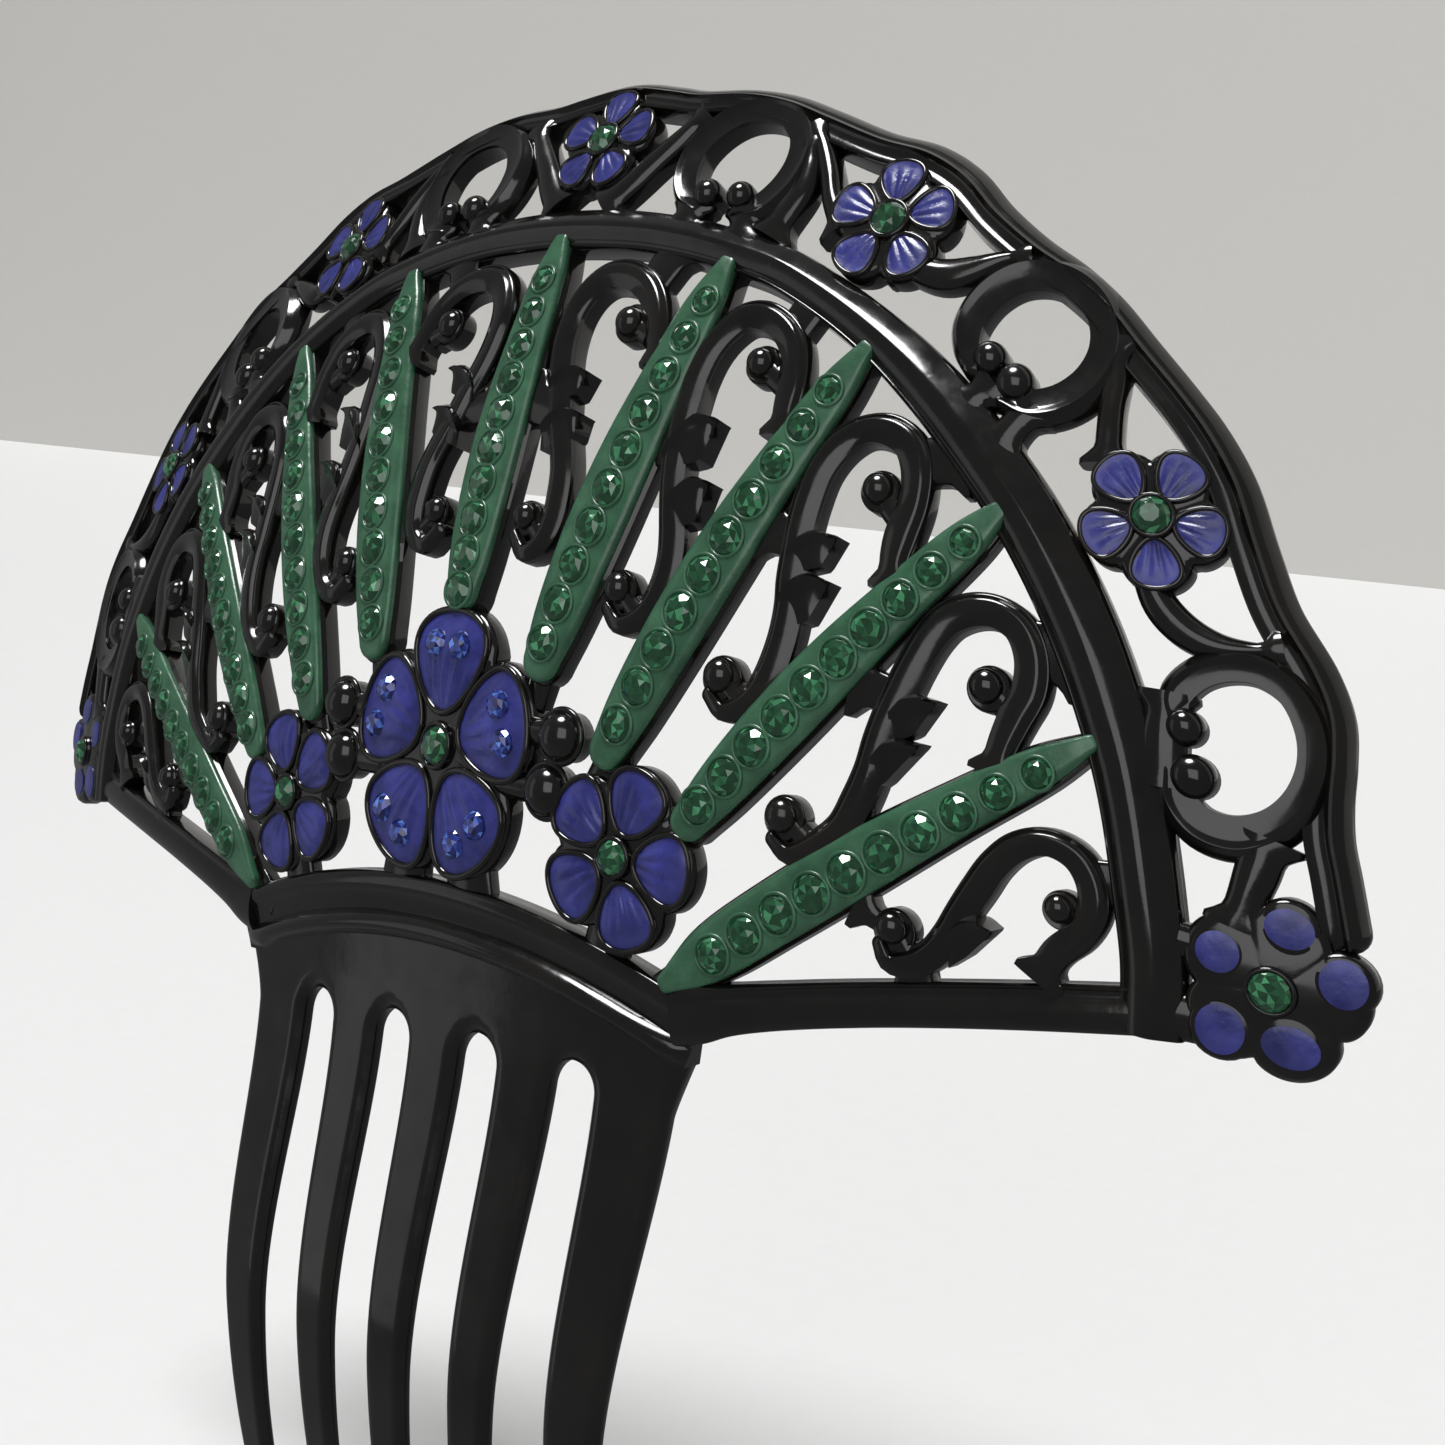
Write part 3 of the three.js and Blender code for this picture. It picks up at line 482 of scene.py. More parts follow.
# Scrolls, from the curl at the foot over the hook: eyes are [centre, radius, neck end, neck width],
# barbs are leaves given by their left end, top, tip and lower edge.
SCROLLS = [
    dict(
        stem=[(45.9, 12.4, 0.7), (46.7, 11.2, 0.9), (48.6, 11.5, 1.2), (50.1, 12.6, 1.25),
              (51.2, 14.2, 1.3), (52, 16.1, 1.25), (53.1, 18.3, 1.3), (54.2, 20.4, 1.25),
              (55.8, 22.2, 1.2), (57.9, 23.1, 1.1), (60.2, 22.6, 1.15), (61.6, 21, 1.2),
              (62, 18.9, 1.25), (61.2, 16.8, 1.25), (59.6, 15, 1.2), (58.4, 12.6, 1.0)],
        eyes=[((46.9, 13.6), 1.75, (48.2, 12.0), 1.0), ((59.7, 18.3), 1.55, (61.2, 17.2), 0.9)],
        barbs=[((51.5, 14.8), (53.6, 16.2), (54.9, 15.6), (52.9, 13.0))],
        ties=[[(61.0, 21.0, 1.6), (64.4, 21.4, 1.8)], [(46.6, 13.4, 0.8), (44.0, 14.6, 0.9)],
              [(48.6, 11.2, 1.5), (48.9, 9.0, 1.8)]],
    ),
    dict(
        stem=[(35.9, 18.4, 0.7), (37.4, 17.5, 0.9), (39.8, 18.7, 1.2), (41.7, 20.4, 1.4),
              (42.7, 22.7, 1.45), (43.4, 25.1, 1.4), (43.8, 27.6, 1.4), (44.3, 29.8, 1.4),
              (45, 32, 1.45), (45.7, 34.2, 1.45), (46.6, 36.4, 1.45), (47.7, 38, 1.45),
              (49.6, 39.1, 1.4), (51.5, 39.3, 1.35), (53.4, 38.5, 1.35), (54.7, 36.5, 1.4),
              (55, 34, 1.45), (54.3, 31.7, 1.4), (53.7, 29.5, 1.25), (53.3, 27.0, 1.1)],
        eyes=[((36.7, 20.1), 1.85, (38.6, 18.8), 1.1), ((51.9, 33.4), 1.85, (54.0, 32.0), 1.2)],
        barbs=[((44.6, 30.2), (46.7, 31.7), (48.2, 31.6), (46.7, 28.6)),
               ((43.7, 26.6), (45.8, 28.1), (47.4, 28.1), (45.0, 24.6))],
        ties=[[(54.2, 37.2, 2.2), (57.6, 37.4, 2.6)], [(44.4, 31.2, 1.4), (41.4, 31.6, 1.7)]],
    ),
    dict(
        stem=[(28.4, 28.4, 0.7), (30.0, 27.3, 0.9), (32.2, 28.5, 1.15), (33.4, 30.4, 1.4),
              (34.1, 33.4, 1.4), (34.2, 36.2, 1.4), (33.9, 38.4, 1.4), (33.8, 40.1, 1.4),
              (33.7, 42.3, 1.4), (33.8, 44.8, 1.4), (34.3, 47.6, 1.35), (35.5, 49.9, 1.35),
              (37.3, 51.3, 1.25), (39.4, 51.6, 1.4), (41.3, 50.8, 1.4), (42.5, 48.8, 1.35),
              (42.9, 46.2, 1.35), (42.5, 43.4, 1.45), (42.4, 41.5, 1.25), (42.7, 39.4, 1.0)],
        eyes=[((29.3, 29.8), 1.85, (31.2, 28.4), 1.1), ((39.9, 46.6), 1.75, (42.0, 44.8), 1.2)],
        barbs=[((33.4, 40.6), (35.2, 42.5), (37.4, 42.4), (36.4, 39.8)),
               ((33.5, 37.3), (35.6, 39.1), (37.5, 38.8), (36.2, 35.4))],
        ties=[[(41.8, 49.4, 1.8), (45.6, 50.6, 2.2)], [(33.8, 41.6, 1.5), (30.6, 42.2, 1.9)]],
    ),
    dict(
        stem=[(16.9, 33.8, 0.7), (18.4, 32.6, 0.9), (20.2, 33.2, 1.1), (21.4, 34.6, 1.3),
              (22.1, 36.6, 1.4), (22.2, 38.6, 1.4), (21.9, 40.4, 1.4), (21.3, 42.3, 1.3),
              (20.8, 44.2, 1.3), (20.4, 46.4, 1.35), (20.1, 49, 1.4), (20.1, 51.4, 1.35),
              (20.2, 53.8, 1.35), (20.8, 56.2, 1.3), (21.9, 58.1, 1.3), (23.3, 59.3, 1.3),
              (25, 59.5, 1.35), (27, 58.8, 1.35), (28.5, 57.5, 1.35), (29.3, 55.8, 1.35),
              (29.7, 53.8, 1.35), (29.8, 52, 1.25), (30.0, 49.6, 1.0)],
        eyes=[((17.8, 35.3), 1.75, (19.6, 33.8), 1.0), ((26.4, 55.3), 1.7, (28.8, 54.0), 1.2)],
        barbs=[((19.4, 47.0), (21.6, 50.4), (23.8, 50.2), (23.0, 46.6)),
               ((21.0, 43.1), (22.9, 45.2), (24.6, 45.0), (24.0, 41.6))],
        ties=[[(27.8, 58.0, 1.6), (29.4, 62.2, 1.8)], [(20.2, 47.6, 1.7), (16.8, 47.8, 2.2)]],
    ),
    dict(
        stem=[(4.9, 38.8, 0.7), (6.4, 37.4, 0.9), (8.0, 38.2, 1.1), (8.8, 40.2, 1.3),
              (8.8, 42.7, 1.35), (8.4, 44.9, 1.3), (7.6, 47, 1.3), (6.7, 49.1, 1.3),
              (5.9, 51.5, 1.3), (5.0, 53.8, 1.3), (4.5, 56.2, 1.3), (4.6, 58.9, 1.3),
              (5.5, 61, 1.35), (7.0, 62.2, 1.4), (9.0, 62.4, 1.45), (11.2, 61.8, 1.4),
              (12.9, 60.5, 1.35), (14.1, 58.8, 1.25), (15.0, 56.6, 1.1), (15.8, 54.6, 0.8)],
        eyes=[((5.9, 40.3), 1.6, (7.6, 38.8), 1.0), ((11.6, 57.9), 1.8, (13.8, 57.0), 1.1)],
        barbs=[((4.9, 52.2), (7.2, 53.7), (8.6, 53.3), (7.9, 51.2)),
               ((5.4, 48.3), (7.4, 50.0), (9.2, 49.6), (9.0, 47.4))],
        ties=[[(11.9, 61.4, 1.8), (13.4, 65.0, 2.0)], [(6.0, 49.8, 1.6), (2.6, 50.6, 2.0)]],
    ),
]
RINGS = [
    dict(
        arc=[(65.9, 34.8, 1.0), (65.5, 36.4, 1.3), (66.7, 38.5, 1.35), (68.7, 39.8, 1.35),
             (71.1, 40.2, 1.35), (73.7, 39.2, 1.4), (75.6, 36.6, 1.5), (76.1, 33.8, 1.5),
             (75.4, 30.8, 1.5), (73.7, 28.4, 1.6), (71.2, 27.0, 1.8), (68.6, 27.2, 1.75),
             (66.8, 28.8, 1.5), (66.3, 30.6, 1.1)],
        balls=[(66.7, 34.3, 1.45), (67.8, 30.8, 1.7)],
        stems=[[(64.9, 36.6, 1.2), (65.2, 33, 1.8), (65.8, 29.4, 1.6)],
               [(73.5, 27.8, 1.6), (73.0, 25, 1.6), (72.6, 23, 1.45), (72.2, 20.4, 1.5)],
               [(60.9, 46.4, 0.9), (63.2, 43.0, 1.35), (65.4, 41.5, 1.35), (67.8, 41.0, 1.1),
                (70.2, 41.4, 0.7), (72.4, 42.2, 0.4)]],
    ),
    dict(
        arc=[(44.6, 57.9, 0.9), (43.6, 59.4, 1.2), (43.1, 61.6, 1.5), (44.0, 64.4, 1.6),
             (46.0, 66.4, 1.6), (48.8, 67.1, 1.6), (51.6, 66.4, 1.6), (53.9, 64.4, 1.6),
             (54.8, 61.6, 1.6), (54.2, 58.8, 1.6), (52.4, 56.6, 1.6), (50.0, 55.6, 1.5),
             (48.0, 55.9, 1.1)],
        balls=[(45.9, 58.9, 1.4), (48.4, 57.4, 1.55)],
        stems=[[(46.8, 57.0, 1.2), (44.6, 54.6, 1.4)], [(50.2, 56.0, 1.2), (48.2, 52.0, 1.5)],
               [(55.4, 63.0, 1.0), (55.9, 60, 1.0), (56.2, 57, 1.0), (57.0, 52.6, 1.1)],
               [(35.2, 65.8, 0.9), (39.6, 65.3, 1.4), (42.1, 66.25, 1.2), (44.3, 67.5, 0.75),
                (46.5, 68.3, 0.4)]],
    ),
    dict(
        arc=[(14.0, 69.0, 0.9), (12.4, 69.9, 1.2), (11.2, 71.9, 1.5), (11.1, 74.6, 1.6),
             (12.6, 77.2, 1.6), (15.0, 78.7, 1.5), (17.8, 79.0, 1.5), (20.5, 78.2, 1.5),
             (22.3, 76.2, 1.5), (22.8, 73.6, 1.5), (22.1, 71.0, 1.5), (20.4, 69.0, 1.4),
             (18.6, 68.6, 1.0)],
        balls=[(14.7, 70.2, 1.35), (18.3, 70.1, 1.3)],
        stems=[[(23.0, 76.0, 0.8), (23.9, 73.4, 1.0), (24.0, 71.2, 1.2), (23.4, 69.2, 1.3),
                (22.4, 66.6, 1.4)],
               [(22.6, 77.4, 0.5), (24, 76.0, 0.9), (25.9, 73.2, 1.0), (27.3, 70.6, 1.0), (29.4, 67.8, 1.1)],
               [(2.8, 69.2, 1.5), (5.0, 71.5, 1.4), (6.7, 73.6, 1.3), (8.6, 75.9, 1.15), (10.6, 78.6, 0.8)],
               [(13.4, 69.6, 1.2), (13.0, 66.8, 1.4)], [(19.4, 69.0, 1.2), (19.6, 66.0, 1.4)]],
    ),
]
# A flower's petals are (distance from its middle, half length, half width). stretch is upwards.
CENTRE_FLOWER = dict(
    centre=(0, 20.3), stretch=1.07, radius=11.4, angle=math.pi / 2, stone=1.6, petal=(7.0, 3.9, 4.3)
)
SIDE_FLOWER = dict(centre=(21.3, 14.1), radius=7.8, angle=1.24, stone=1.4, petal=(4.9, 2.6, 2.75))
BALLS = [(14.1, 22.8, 2.1), (13.2, 18.2, 2.15)]  # beside the centre flower
# The corner flower's ovals are (across, up, half width, half height), and webs tie it to the arch rail.
BORDER_FLOWERS = [
    dict(centre=(75, 16.5), radius=6.9, angle=1.4, stone=1.5,
         webs=[[(68.4, 12.6, 1.8), (72.6, 12.8, 1.8)], [(68.2, 18.4, 1.4), (72.6, 18.2, 1.4)]],
         ovals=[(75.8, 21.5, 1.75, 1.5), (79.8, 18.5, 1.7, 1.85), (76.7, 12.7, 2.05, 1.6),
                (71.8, 12.7, 1.75, 1.9), (71.1, 18.4, 1.55, 1.55)]),
    dict(centre=(61.4, 49.4), radius=5.8, angle=1.22, stone=1.45, petal=(3.75, 1.85, 1.85)),
    dict(centre=(33.7, 69), radius=5.8, angle=1.66, stone=1.45, petal=(3.75, 1.85, 1.85)),
    dict(centre=(0, 75.8), radius=5.4, angle=math.pi / 2, stone=1.4, petal=(3.5, 1.75, 1.75)),
]
BLUE_REACH = 8.2  # distance of the blue stones from the middle of the centre flower
BLUE_SPREAD = 0.185  # radians each of them lies off its petal's axis

# ---- Cut stones ----
# Heights are shares of a stone's rise, radii are shares of its own.
GIRDLE_HEIGHT = 0.25
CROWN_RADIUS, CROWN_HEIGHT = 0.80, 0.66
TABLE_RADIUS = 0.52
STONE_RISE = 0.62  # rise of a stone of radius 1


def cut_stone(centre, radius, base, turn, values, rng, flat):
    """A round faceted stone: girdle, sixteen crown facets, eight stars and a table."""
    rise = STONE_RISE * radius**0.5

    def ring(n, r, h, offset):
        return circle(centre, r, h, turn + offset + np.arange(n) * 2 * math.pi / n)

    low = ring(16, radius, base, 0)
    girdle = ring(16, radius, base + GIRDLE_HEIGHT * rise, 0)
    crown = ring(8, radius * CROWN_RADIUS, base + CROWN_HEIGHT * rise, math.pi / 16)
    table = ring(8, radius * TABLE_RADIUS, base + rise, math.pi / 16 + math.pi / 8)
    points = low + girdle + crown + table + [[centre[0], centre[1], base + rise]]
    faces = [list(range(16))[::-1]]
    for i in range(16):
        j = (i + 1) % 16
        faces.append([i, j, 16 + j, 16 + i])
    for i in range(8):
        a, b, d = 16 + 2 * i, 16 + (2 * i + 1) % 16, 16 + (2 * i + 2) % 16
        m, m2 = 32 + i, 32 + (i + 1) % 8
        faces += [[a, b, m], [b, d, m2], [b, m2, m]]
        faces += [[m, m2, 40 + i], [m2, 40 + (i + 1) % 8, 40 + i]]
        faces.append([40 + i, 40 + (i + 1) % 8, 48])
    flat.add(points, faces)
    # each face gets a random value: how bright its painted reflection of the foil is
    values += [float(v) for v in rng.random(len(faces)) ** 1.7]


def stones_piece(name, spots, base, material, nodes, seed):
    flat, values = Flat(), []
    rng = np.random.default_rng(seed)
    for s, t, r in spots:
        cut_stone((s, t), r, base, rng.random() * 6.3, values, rng, flat)
    piece(name, flat, material, nodes, values)


# ---- Moulding members ----


def half_round(low, crown, power=0.55):
    """The front of a bar that rises from low at its edges to crown in the middle."""
    return lambda k: low + (crown - low) * max(1 - k * k, 0) ** power


def lip(k, at, width, height):
    """A fine ridge to add to a bar's front."""
    return height * math.exp(-(((k - at) / width) ** 2))


def arch_top(k):
    """A long outer slope, a round crest, and a groove and thin lip along the inner edge at k = 1."""
    if k < -0.04:
        dome = 1.0 - 0.92 * ((-0.04 - k) / 0.84) ** 1.2 - max(-0.88 - k, 0) * 2.5
    else:
        dome = 1.35 * max(1 - ((k + 0.04) / 0.94) ** 2, 0) ** 0.62 - 0.35
    ledge = 0.12 + lip(k, 0.88, 0.07, 0.22)
    return max(dome if k < 0.8 else -1, ledge if k > 0.7 else -1) - 0.4 * (abs(k) > 0.985)


def outer_top(k):
    """An outer slope up to a crest line, then a shallow hollow towards the inner edge at k = 1."""
    if k < -0.1:
        body = -0.75 + 1.1 * math.sin(math.pi / 2 * (k + 1) / 0.9) ** 0.8
    else:
        body = 0.35 - 0.38 * math.sin(math.pi * (k + 0.1) / 1.1) ** 0.8
    return body + lip(k, -0.08, 0.09, 0.3) - 0.35 * (abs(k) > 0.985)


def scroll_top(k):
    """A roof with its ridge towards the outer side, k = 1, and a fine lip along that edge."""
    if k > 0.4:
        body = 0.7 - 0.75 * ((k - 0.4) / 0.6) ** 1.3
    else:
        body = 0.7 - 0.45 * ((0.4 - k) / 1.4) ** 2.2
    return body + lip(k, 0.93, 0.06, 0.14) - 0.4 * (k < -0.96) - 0.3 * (k > 0.985)


def ring_top(k):
    """An outer slope at k = -1 rising to a crest line, then a hollow band round the opening."""
    if k < -0.35:
        body = -0.45 + 0.95 * math.sin(math.pi / 2 * (k + 1) / 0.65)
    else:
        body = 0.5 - 0.3 * math.sin(math.pi / 2 * (k + 0.35) / 1.35)
    return body + lip(k, -0.36, 0.08, 0.2) - 0.3 * (abs(k) > 0.97)


stem_top = half_round(-0.25, 0.5, 0.7)
BOTH_FLARED, END_FLARED = (True, True), (False, True)
TIE_REACH = 0.6  # how much further a tie runs into the member it meets


def both_sides(points):
    """A line that ends in the middle, carried on to the left as its mirror image."""
    return list(points) + [(-p[0], *p[1:]) for p in points[-2::-1]]


def ray_line(ray, shrink=0.0):
    foot, tip = np.array(ray["foot"]), np.array(ray["tip"])
    taper = [(0, ray.get("base", RAY_TAPER[0][1])), *RAY_TAPER[1:]]
    return [(*(foot + (tip - foot) * k), max(f * ray["width"] - shrink, 0.3)) for k, f in taper]


def scroll_flat(one):
    flat = Flat()
    flat.add(*sweep(one["stem"], scroll_top, samples=23, ends=(True, False), flares=END_FLARED))
    for centre, radius, neck_to, neck_width in one["eyes"]:
        volute(centre, radius, neck_to, neck_width, flat)
    for left, top, tip, lower in one["barbs"]:
        brow = ((left[0] + top[0]) / 2 - 0.2, (left[1] + top[1]) / 2 + 0.3)
        heel = (left[0], lower[1] - 1.2)
        leaf([left, brow, top, tip], [heel, lower, (tip[0] - 0.1, tip[1] - 0.25)], flat)
    for tie in one["ties"]:
        start, end = np.array(tie[-2][:2]), np.array(tie[-1][:2])
        end = end + (end - start) / np.linalg.norm(end - start) * TIE_REACH
        longer = [*tie[:-1], (*end, tie[-1][2])]
        flat.add(*sweep(longer, half_round(-0.3, 0.15, 0.4), ends=SQUARE_ENDS, flares=END_FLARED))
    return flat


def ring_flat(one):
    flat = Flat()
    flat.add(*sweep(one["arc"][::-1], ring_top, samples=23, step=0.4))
    for s, t, radius in one["balls"]:
        flat.add(*ball((s, t), radius))
    for stem in one["stems"]:
        flat.add(*sweep(stem, stem_top, ends=SQUARE_ENDS, flares=BOTH_FLARED))
    return flat


PETAL_POINTS = 56


def petal_outline(f, angle, scale=1.0):
    """An egg-shaped petal, narrower towards the flower's middle, with its own middle and direction."""
    reach, length, width = f["petal"]
    axis = np.array([math.cos(angle), math.sin(angle)])
    side = np.array([-axis[1], axis[0]])
    middle = np.array(f["centre"]) + axis * reach
    a = 2 * math.pi * np.arange(PETAL_POINTS) / PETAL_POINTS
    along = np.where(np.cos(a) > 0, length, length * 1.12) * np.cos(a) * scale
    across = width * np.sin(a) * (1 + 0.28 * np.cos(a)) * scale
    return middle + axis * along[:, None] + side * across[:, None], middle, axis


def painted_cap(outline, middle, height, paint, rings=12):
    """A painted patch: height(share, point) is its front at a share of the way out from its middle."""
    n = len(outline)
    points = []
    for k in range(rings):
        share = 1 - k / rings
        for p in outline:
            q = middle + (p - middle) * share
            points.append([*q, height(share, q)])
    points.append([*middle, height(0, middle)])
    points += [[*p, -0.1] for p in outline]
    base = rings * n + 1
    faces = []
    for k in range(rings - 1):
        for j in range(n):
            j2 = (j + 1) % n
            faces.append([k * n + j, k * n + j2, (k + 1) * n + j2, (k + 1) * n + j])
    for j in range(n):
        j2 = (j + 1) % n
        faces.append([(rings - 1) * n + j, (rings - 1) * n + j2, rings * n])
        faces.append([base + j, base + j2, j2, j])
    faces.append([base + j for j in range(n)][::-1])
    paint.add(points, faces)


FLOWER_TOP = 0.42  # height of a flower's black body


def flower_body(f, body):
    """A five-lobed plate with a rounded edge."""
    c, radius, sides = np.array(f["centre"], float), f["radius"], 120
    angles = 2 * math.pi * np.arange(sides) / sides
    lobes = np.abs(np.cos(5 * (angles - f["angle"]) / 2)) ** 0.6
    edge = radius * (0.77 + 0.23 * lobes)
    profile = [(0.97, -1.9), (1, -1.6), (1, -0.35), (0.985, -0.05), (0.95, 0.16)]
    profile += [(0.9, FLOWER_TOP - 0.12), (0.84, FLOWER_TOP), (0.1, FLOWER_TOP)]
    loops = []
    for share, h in profile:
        reach = edge * share
        ring = [c[0] + reach * np.cos(angles), c[1] + reach * np.sin(angles), np.full(sides, h)]
        loops.append(np.stack(ring, -1))
    body.add(*loft(loops))


def stone_collar(f, body):
    c, r = f["centre"], f["stone"]
    body.add(*tube(circle(c, r + 0.16, 0.72, full_turn(36)), 0.2))
    body.add(*lathe(c, [(r + 0.5, 0.2), (r + 0.34, 0.6), (r * 0.9, 0.66)], sides=36))


LOBE = [(0.97, -1.9), (1, -1.6), (1, -0.35), (0.97, 0.0), (0.9, 0.28), (0.8, 0.41), (0.1, 0.42)]


def oval_petals(f, body, paint):
    """Five round lobes with an oval of paint on each, and the webs that tie the flower in."""
    for web in f["webs"]:
        body.add(*sweep(web, half_round(-0.4, 0.25), ends=SQUARE_ENDS))
    for s, t, rs, rt in f["ovals"]:
        lobe = max(rs, rt) + 0.6
        body.add(*lathe((s, t), [(lobe * share, h) for share, h in LOBE]))
        a = 2 * math.pi * np.arange(40) / 40
        outline = np.stack([s + rs * np.cos(a), t + rt * np.sin(a)], -1)
        painted_cap(outline, np.array([s, t]), lambda share, q: 0.5 + 0.07 * (1 - share**4), paint, 5)


def fluted_petals(f, body, paint):
    """Five petals with a black rim, and raised, fluted paint within it."""
    c = np.array(f["centre"], float)
    big = f["radius"] > 7
    for i in range(5):
        angle = f["angle"] + 2 * math.pi * i / 5
        outline, middle, axis = petal_outline(f, angle)
        rim = np.column_stack([outline, np.full(len(outline), 0.44)])
        body.add(*tube(rim, 0.17 + 0.012 * f["radius"]))

        def height(share, q, axis=axis):
            rel = q - c
            turn = math.atan2(axis[0] * rel[1] - axis[1] * rel[0], rel @ axis)
            out = np.linalg.norm(rel) / (f["petal"][0] + f["petal"][1])
            fade = max(0, 1 - (out / 0.92) ** 3) * (1 - share**6)
            groove = 0.075 * f["radius"] ** 0.5 * (abs(math.cos(turn * 13)) ** 0.7 - 0.6) * fade
            if big:
                return FLOWER_TOP + 0.05 * f["radius"] * (1 - share**2.4) + groove
            return 0.46 + 0.16 * share**3 * max(0, 2 * out - 1) + 0.12 * (1 - share**2) + groove

        painted_cap(petal_outline(f, angle, 0.97)[0], middle, height, paint)


def flower_flats(f):
    """The black body of a flower, and its painted petals."""
    body, paint = Flat(), Flat()
    flower_body(f, body)
    stone_collar(f, body)
    petals = oval_petals if "ovals" in f else fluted_petals
    petals(f, body, paint)
    return body, paint


def place(name, flat, nodes):
    """A black piece in place of the CAD's nodes."""
    piece(name, flat, BLACK, nodes)


arch = sweep(both_sides(ARCH), arch_top, back=-2.3, samples=41, ends=SQUARE_ENDS)
place("arch_rail_moulding", Flat().add(*arch), ["arch_rail"])
outer = sweep(both_sides(OUTER_RAIL), outer_top, back=-2.2, samples=41)
place("outer_rail_moulding", Flat().add(*outer), ["outer_rail"])


def sill_top(k):
    """Round, with a ledge and a lip along the upper edge at k = 1."""
    dome = -0.5 + 1.0 * max(1 - ((k + 0.2) / 0.86) ** 2, 0) ** 0.5
    ledge = 0.1 if k > 0.5 else -0.5
    return max(dome, ledge) + lip(k, 0.86, 0.08, 0.3) - 0.3 * (abs(k) > 0.985)


sill = Flat().add(*sweep(SILL, sill_top, back=-2.1, samples=33, ends=SQUARE_ENDS))
place("sill_right_moulding", sill, ["sill_right"])
place("sill_left_moulding", sill.mirrored(), ["sill_left"])

for i, one in enumerate(SCROLLS):
    flat = scroll_flat(one)
    place("scroll_moulding_%d" % (i + 1), flat, ["scroll_%d" % (i + 1)])
    place("scroll_moulding_%d" % (10 - i), flat.mirrored(), ["scroll_%d" % (10 - i)])
for i, one in enumerate(RINGS):
    flat = ring_flat(one)
    place("ring_moulding_%d" % (i + 1), flat, ["ring_%d" % (i + 1)])
    place("ring_moulding_%d" % (6 - i), flat.mirrored(), ["ring_%d" % (6 - i)])

RAY_ROOT = 4.0  # how far a bar runs on from a ray's foot, below the flower or plate there
STONE_SEAT = 0.64  # height of a ray stone's lowest edge
PAINT_TOP = 0.8  # height of a ray's enamel
PAINT_MARGIN = 0.3  # how far it stays from the ray's edge


def ray_top(k):
    return 0.12 - 0.1 * k * k - 0.3 * (abs(k) > 0.97)


def ray_paint_top(k):
    return PAINT_TOP - 0.5 + 0.5 * max(1 - k**6, 0) ** 0.6


def stone_spots(ray):
    """A ray's ten stones (across, up, radius), largest in the middle and smallest at the tip."""
    first, last = np.array(ray["first"]), np.array(ray["last"])
    spots = []
    for i in range(10):
        k = i / 9
        spots.append((*(first + (last - first) * k), 1.46 + 0.1 * math.sin(math.pi * k) - 0.3 * k**3))
    return spots


def make_ray(ray, number):
    body = Flat().add(*sweep(ray_line(ray), ray_top, back=-1.8))
    foot, tip = np.array(ray["foot"]), np.array(ray["tip"])
    root = foot - (tip - foot) / np.linalg.norm(tip - foot) * RAY_ROOT
    body.add(*sweep([(*foot, 1.3), (*root, 1.3)], half_round(-0.6, -0.1), ends=SQUARE_ENDS))
    place("ray_moulding_%d" % number, body, ["ray_%d" % number])
    spots = stone_spots(ray)
    paint = Flat().add(*sweep(ray_line(ray, PAINT_MARGIN), ray_paint_top, back=-0.3, samples=21))
    for s, t, r in spots:
        paint.add(*tube(circle((s, t), r + 0.12, PAINT_TOP, full_turn(28)), 0.17, sides=8))
    piece("ray_enamel_%d" % number, paint, GREEN_PAINT, ())
    nodes = ["ray_stones_%d" % number]
    stones_piece("ray_gems_%d" % number, spots, STONE_SEAT, GREEN_GLASS, nodes, 100 + number)


def flip(one):
    return {k: ((-v[0], *v[1:]) if isinstance(v, tuple) else v) for k, v in one.items()}


for i, ray in enumerate(RAYS):
    make_ray(ray, i + 1)
    if i < 4:
        make_ray(flip(ray), 9 - i)


def stretched(points, f):
    """Points moved up or down from a flower's middle by its stretch."""
    middle = f["centre"][1]
    return [[p[0], middle + (p[1] - middle) * f.get("stretch", 1), *p[2:]] for p in points]


def make_flower(f, name, stone_node, seed, extra=(), mirror=False):
    """A flower's black body with any extra meshes, its paint and its stone."""
    body, paint = flower_flats(f)
    for flat in (body, paint):
        flat.points = [np.array(stretched(p, f)) for p in flat.points]
    for mesh in extra:
        body.add(*mesh)
    s = f["centre"][0]
    if mirror:
        body, paint, s = body.mirrored(), paint.mirrored(), -s
    place(name + "_moulding", body, [name])
    piece(name + "_enamel", paint, BLUE_PAINT, ())
    spot = (s, f["centre"][1], f["stone"])
    stones_piece(name + "_gem", [spot], 0.66, GREEN_GLASS, [stone_node], seed)


for i, f in enumerate(BORDER_FLOWERS):
    make_flower(f, "border_flower_%d" % (i + 1), "flower_stone_%d" % (i + 1), 200 + i)
    if i < 3:
        make_flower(f, "border_flower_%d" % (7 - i), "flower_stone_%d" % (7 - i), 210 + i, mirror=True)

foot_top = half_round(-0.6, 0.0)
extra = []
for s, t, r in BALLS:
    for side in (-1, 1):
        extra.append(ball((side * s, t), r, 1.7, back=-1.9))
        extra.append(tube(circle((side * s, t), r + 0.1, 0.1, full_turn(32)), 0.3))
        extra.append(sweep([(side * 8, t, 1.3), (side * s, t, 1.3)], stem_top))
for side in (-1, 1):
    extra.append(sweep([(side * 4.0, 12.0, 2.4), (side * 4.4, 7.4, 3.0)], foot_top, ends=SQUARE_ENDS))
foot = sweep([(20.6, 10.0, 1.8), (19.8, 4.6, 2.4)], foot_top, ends=SQUARE_ENDS)
make_flower(CENTRE_FLOWER, "base_flower_centre", "flower_stone_9", 230, extra)
make_flower(SIDE_FLOWER, "base_flower_right", "flower_stone_10", 231, [foot])
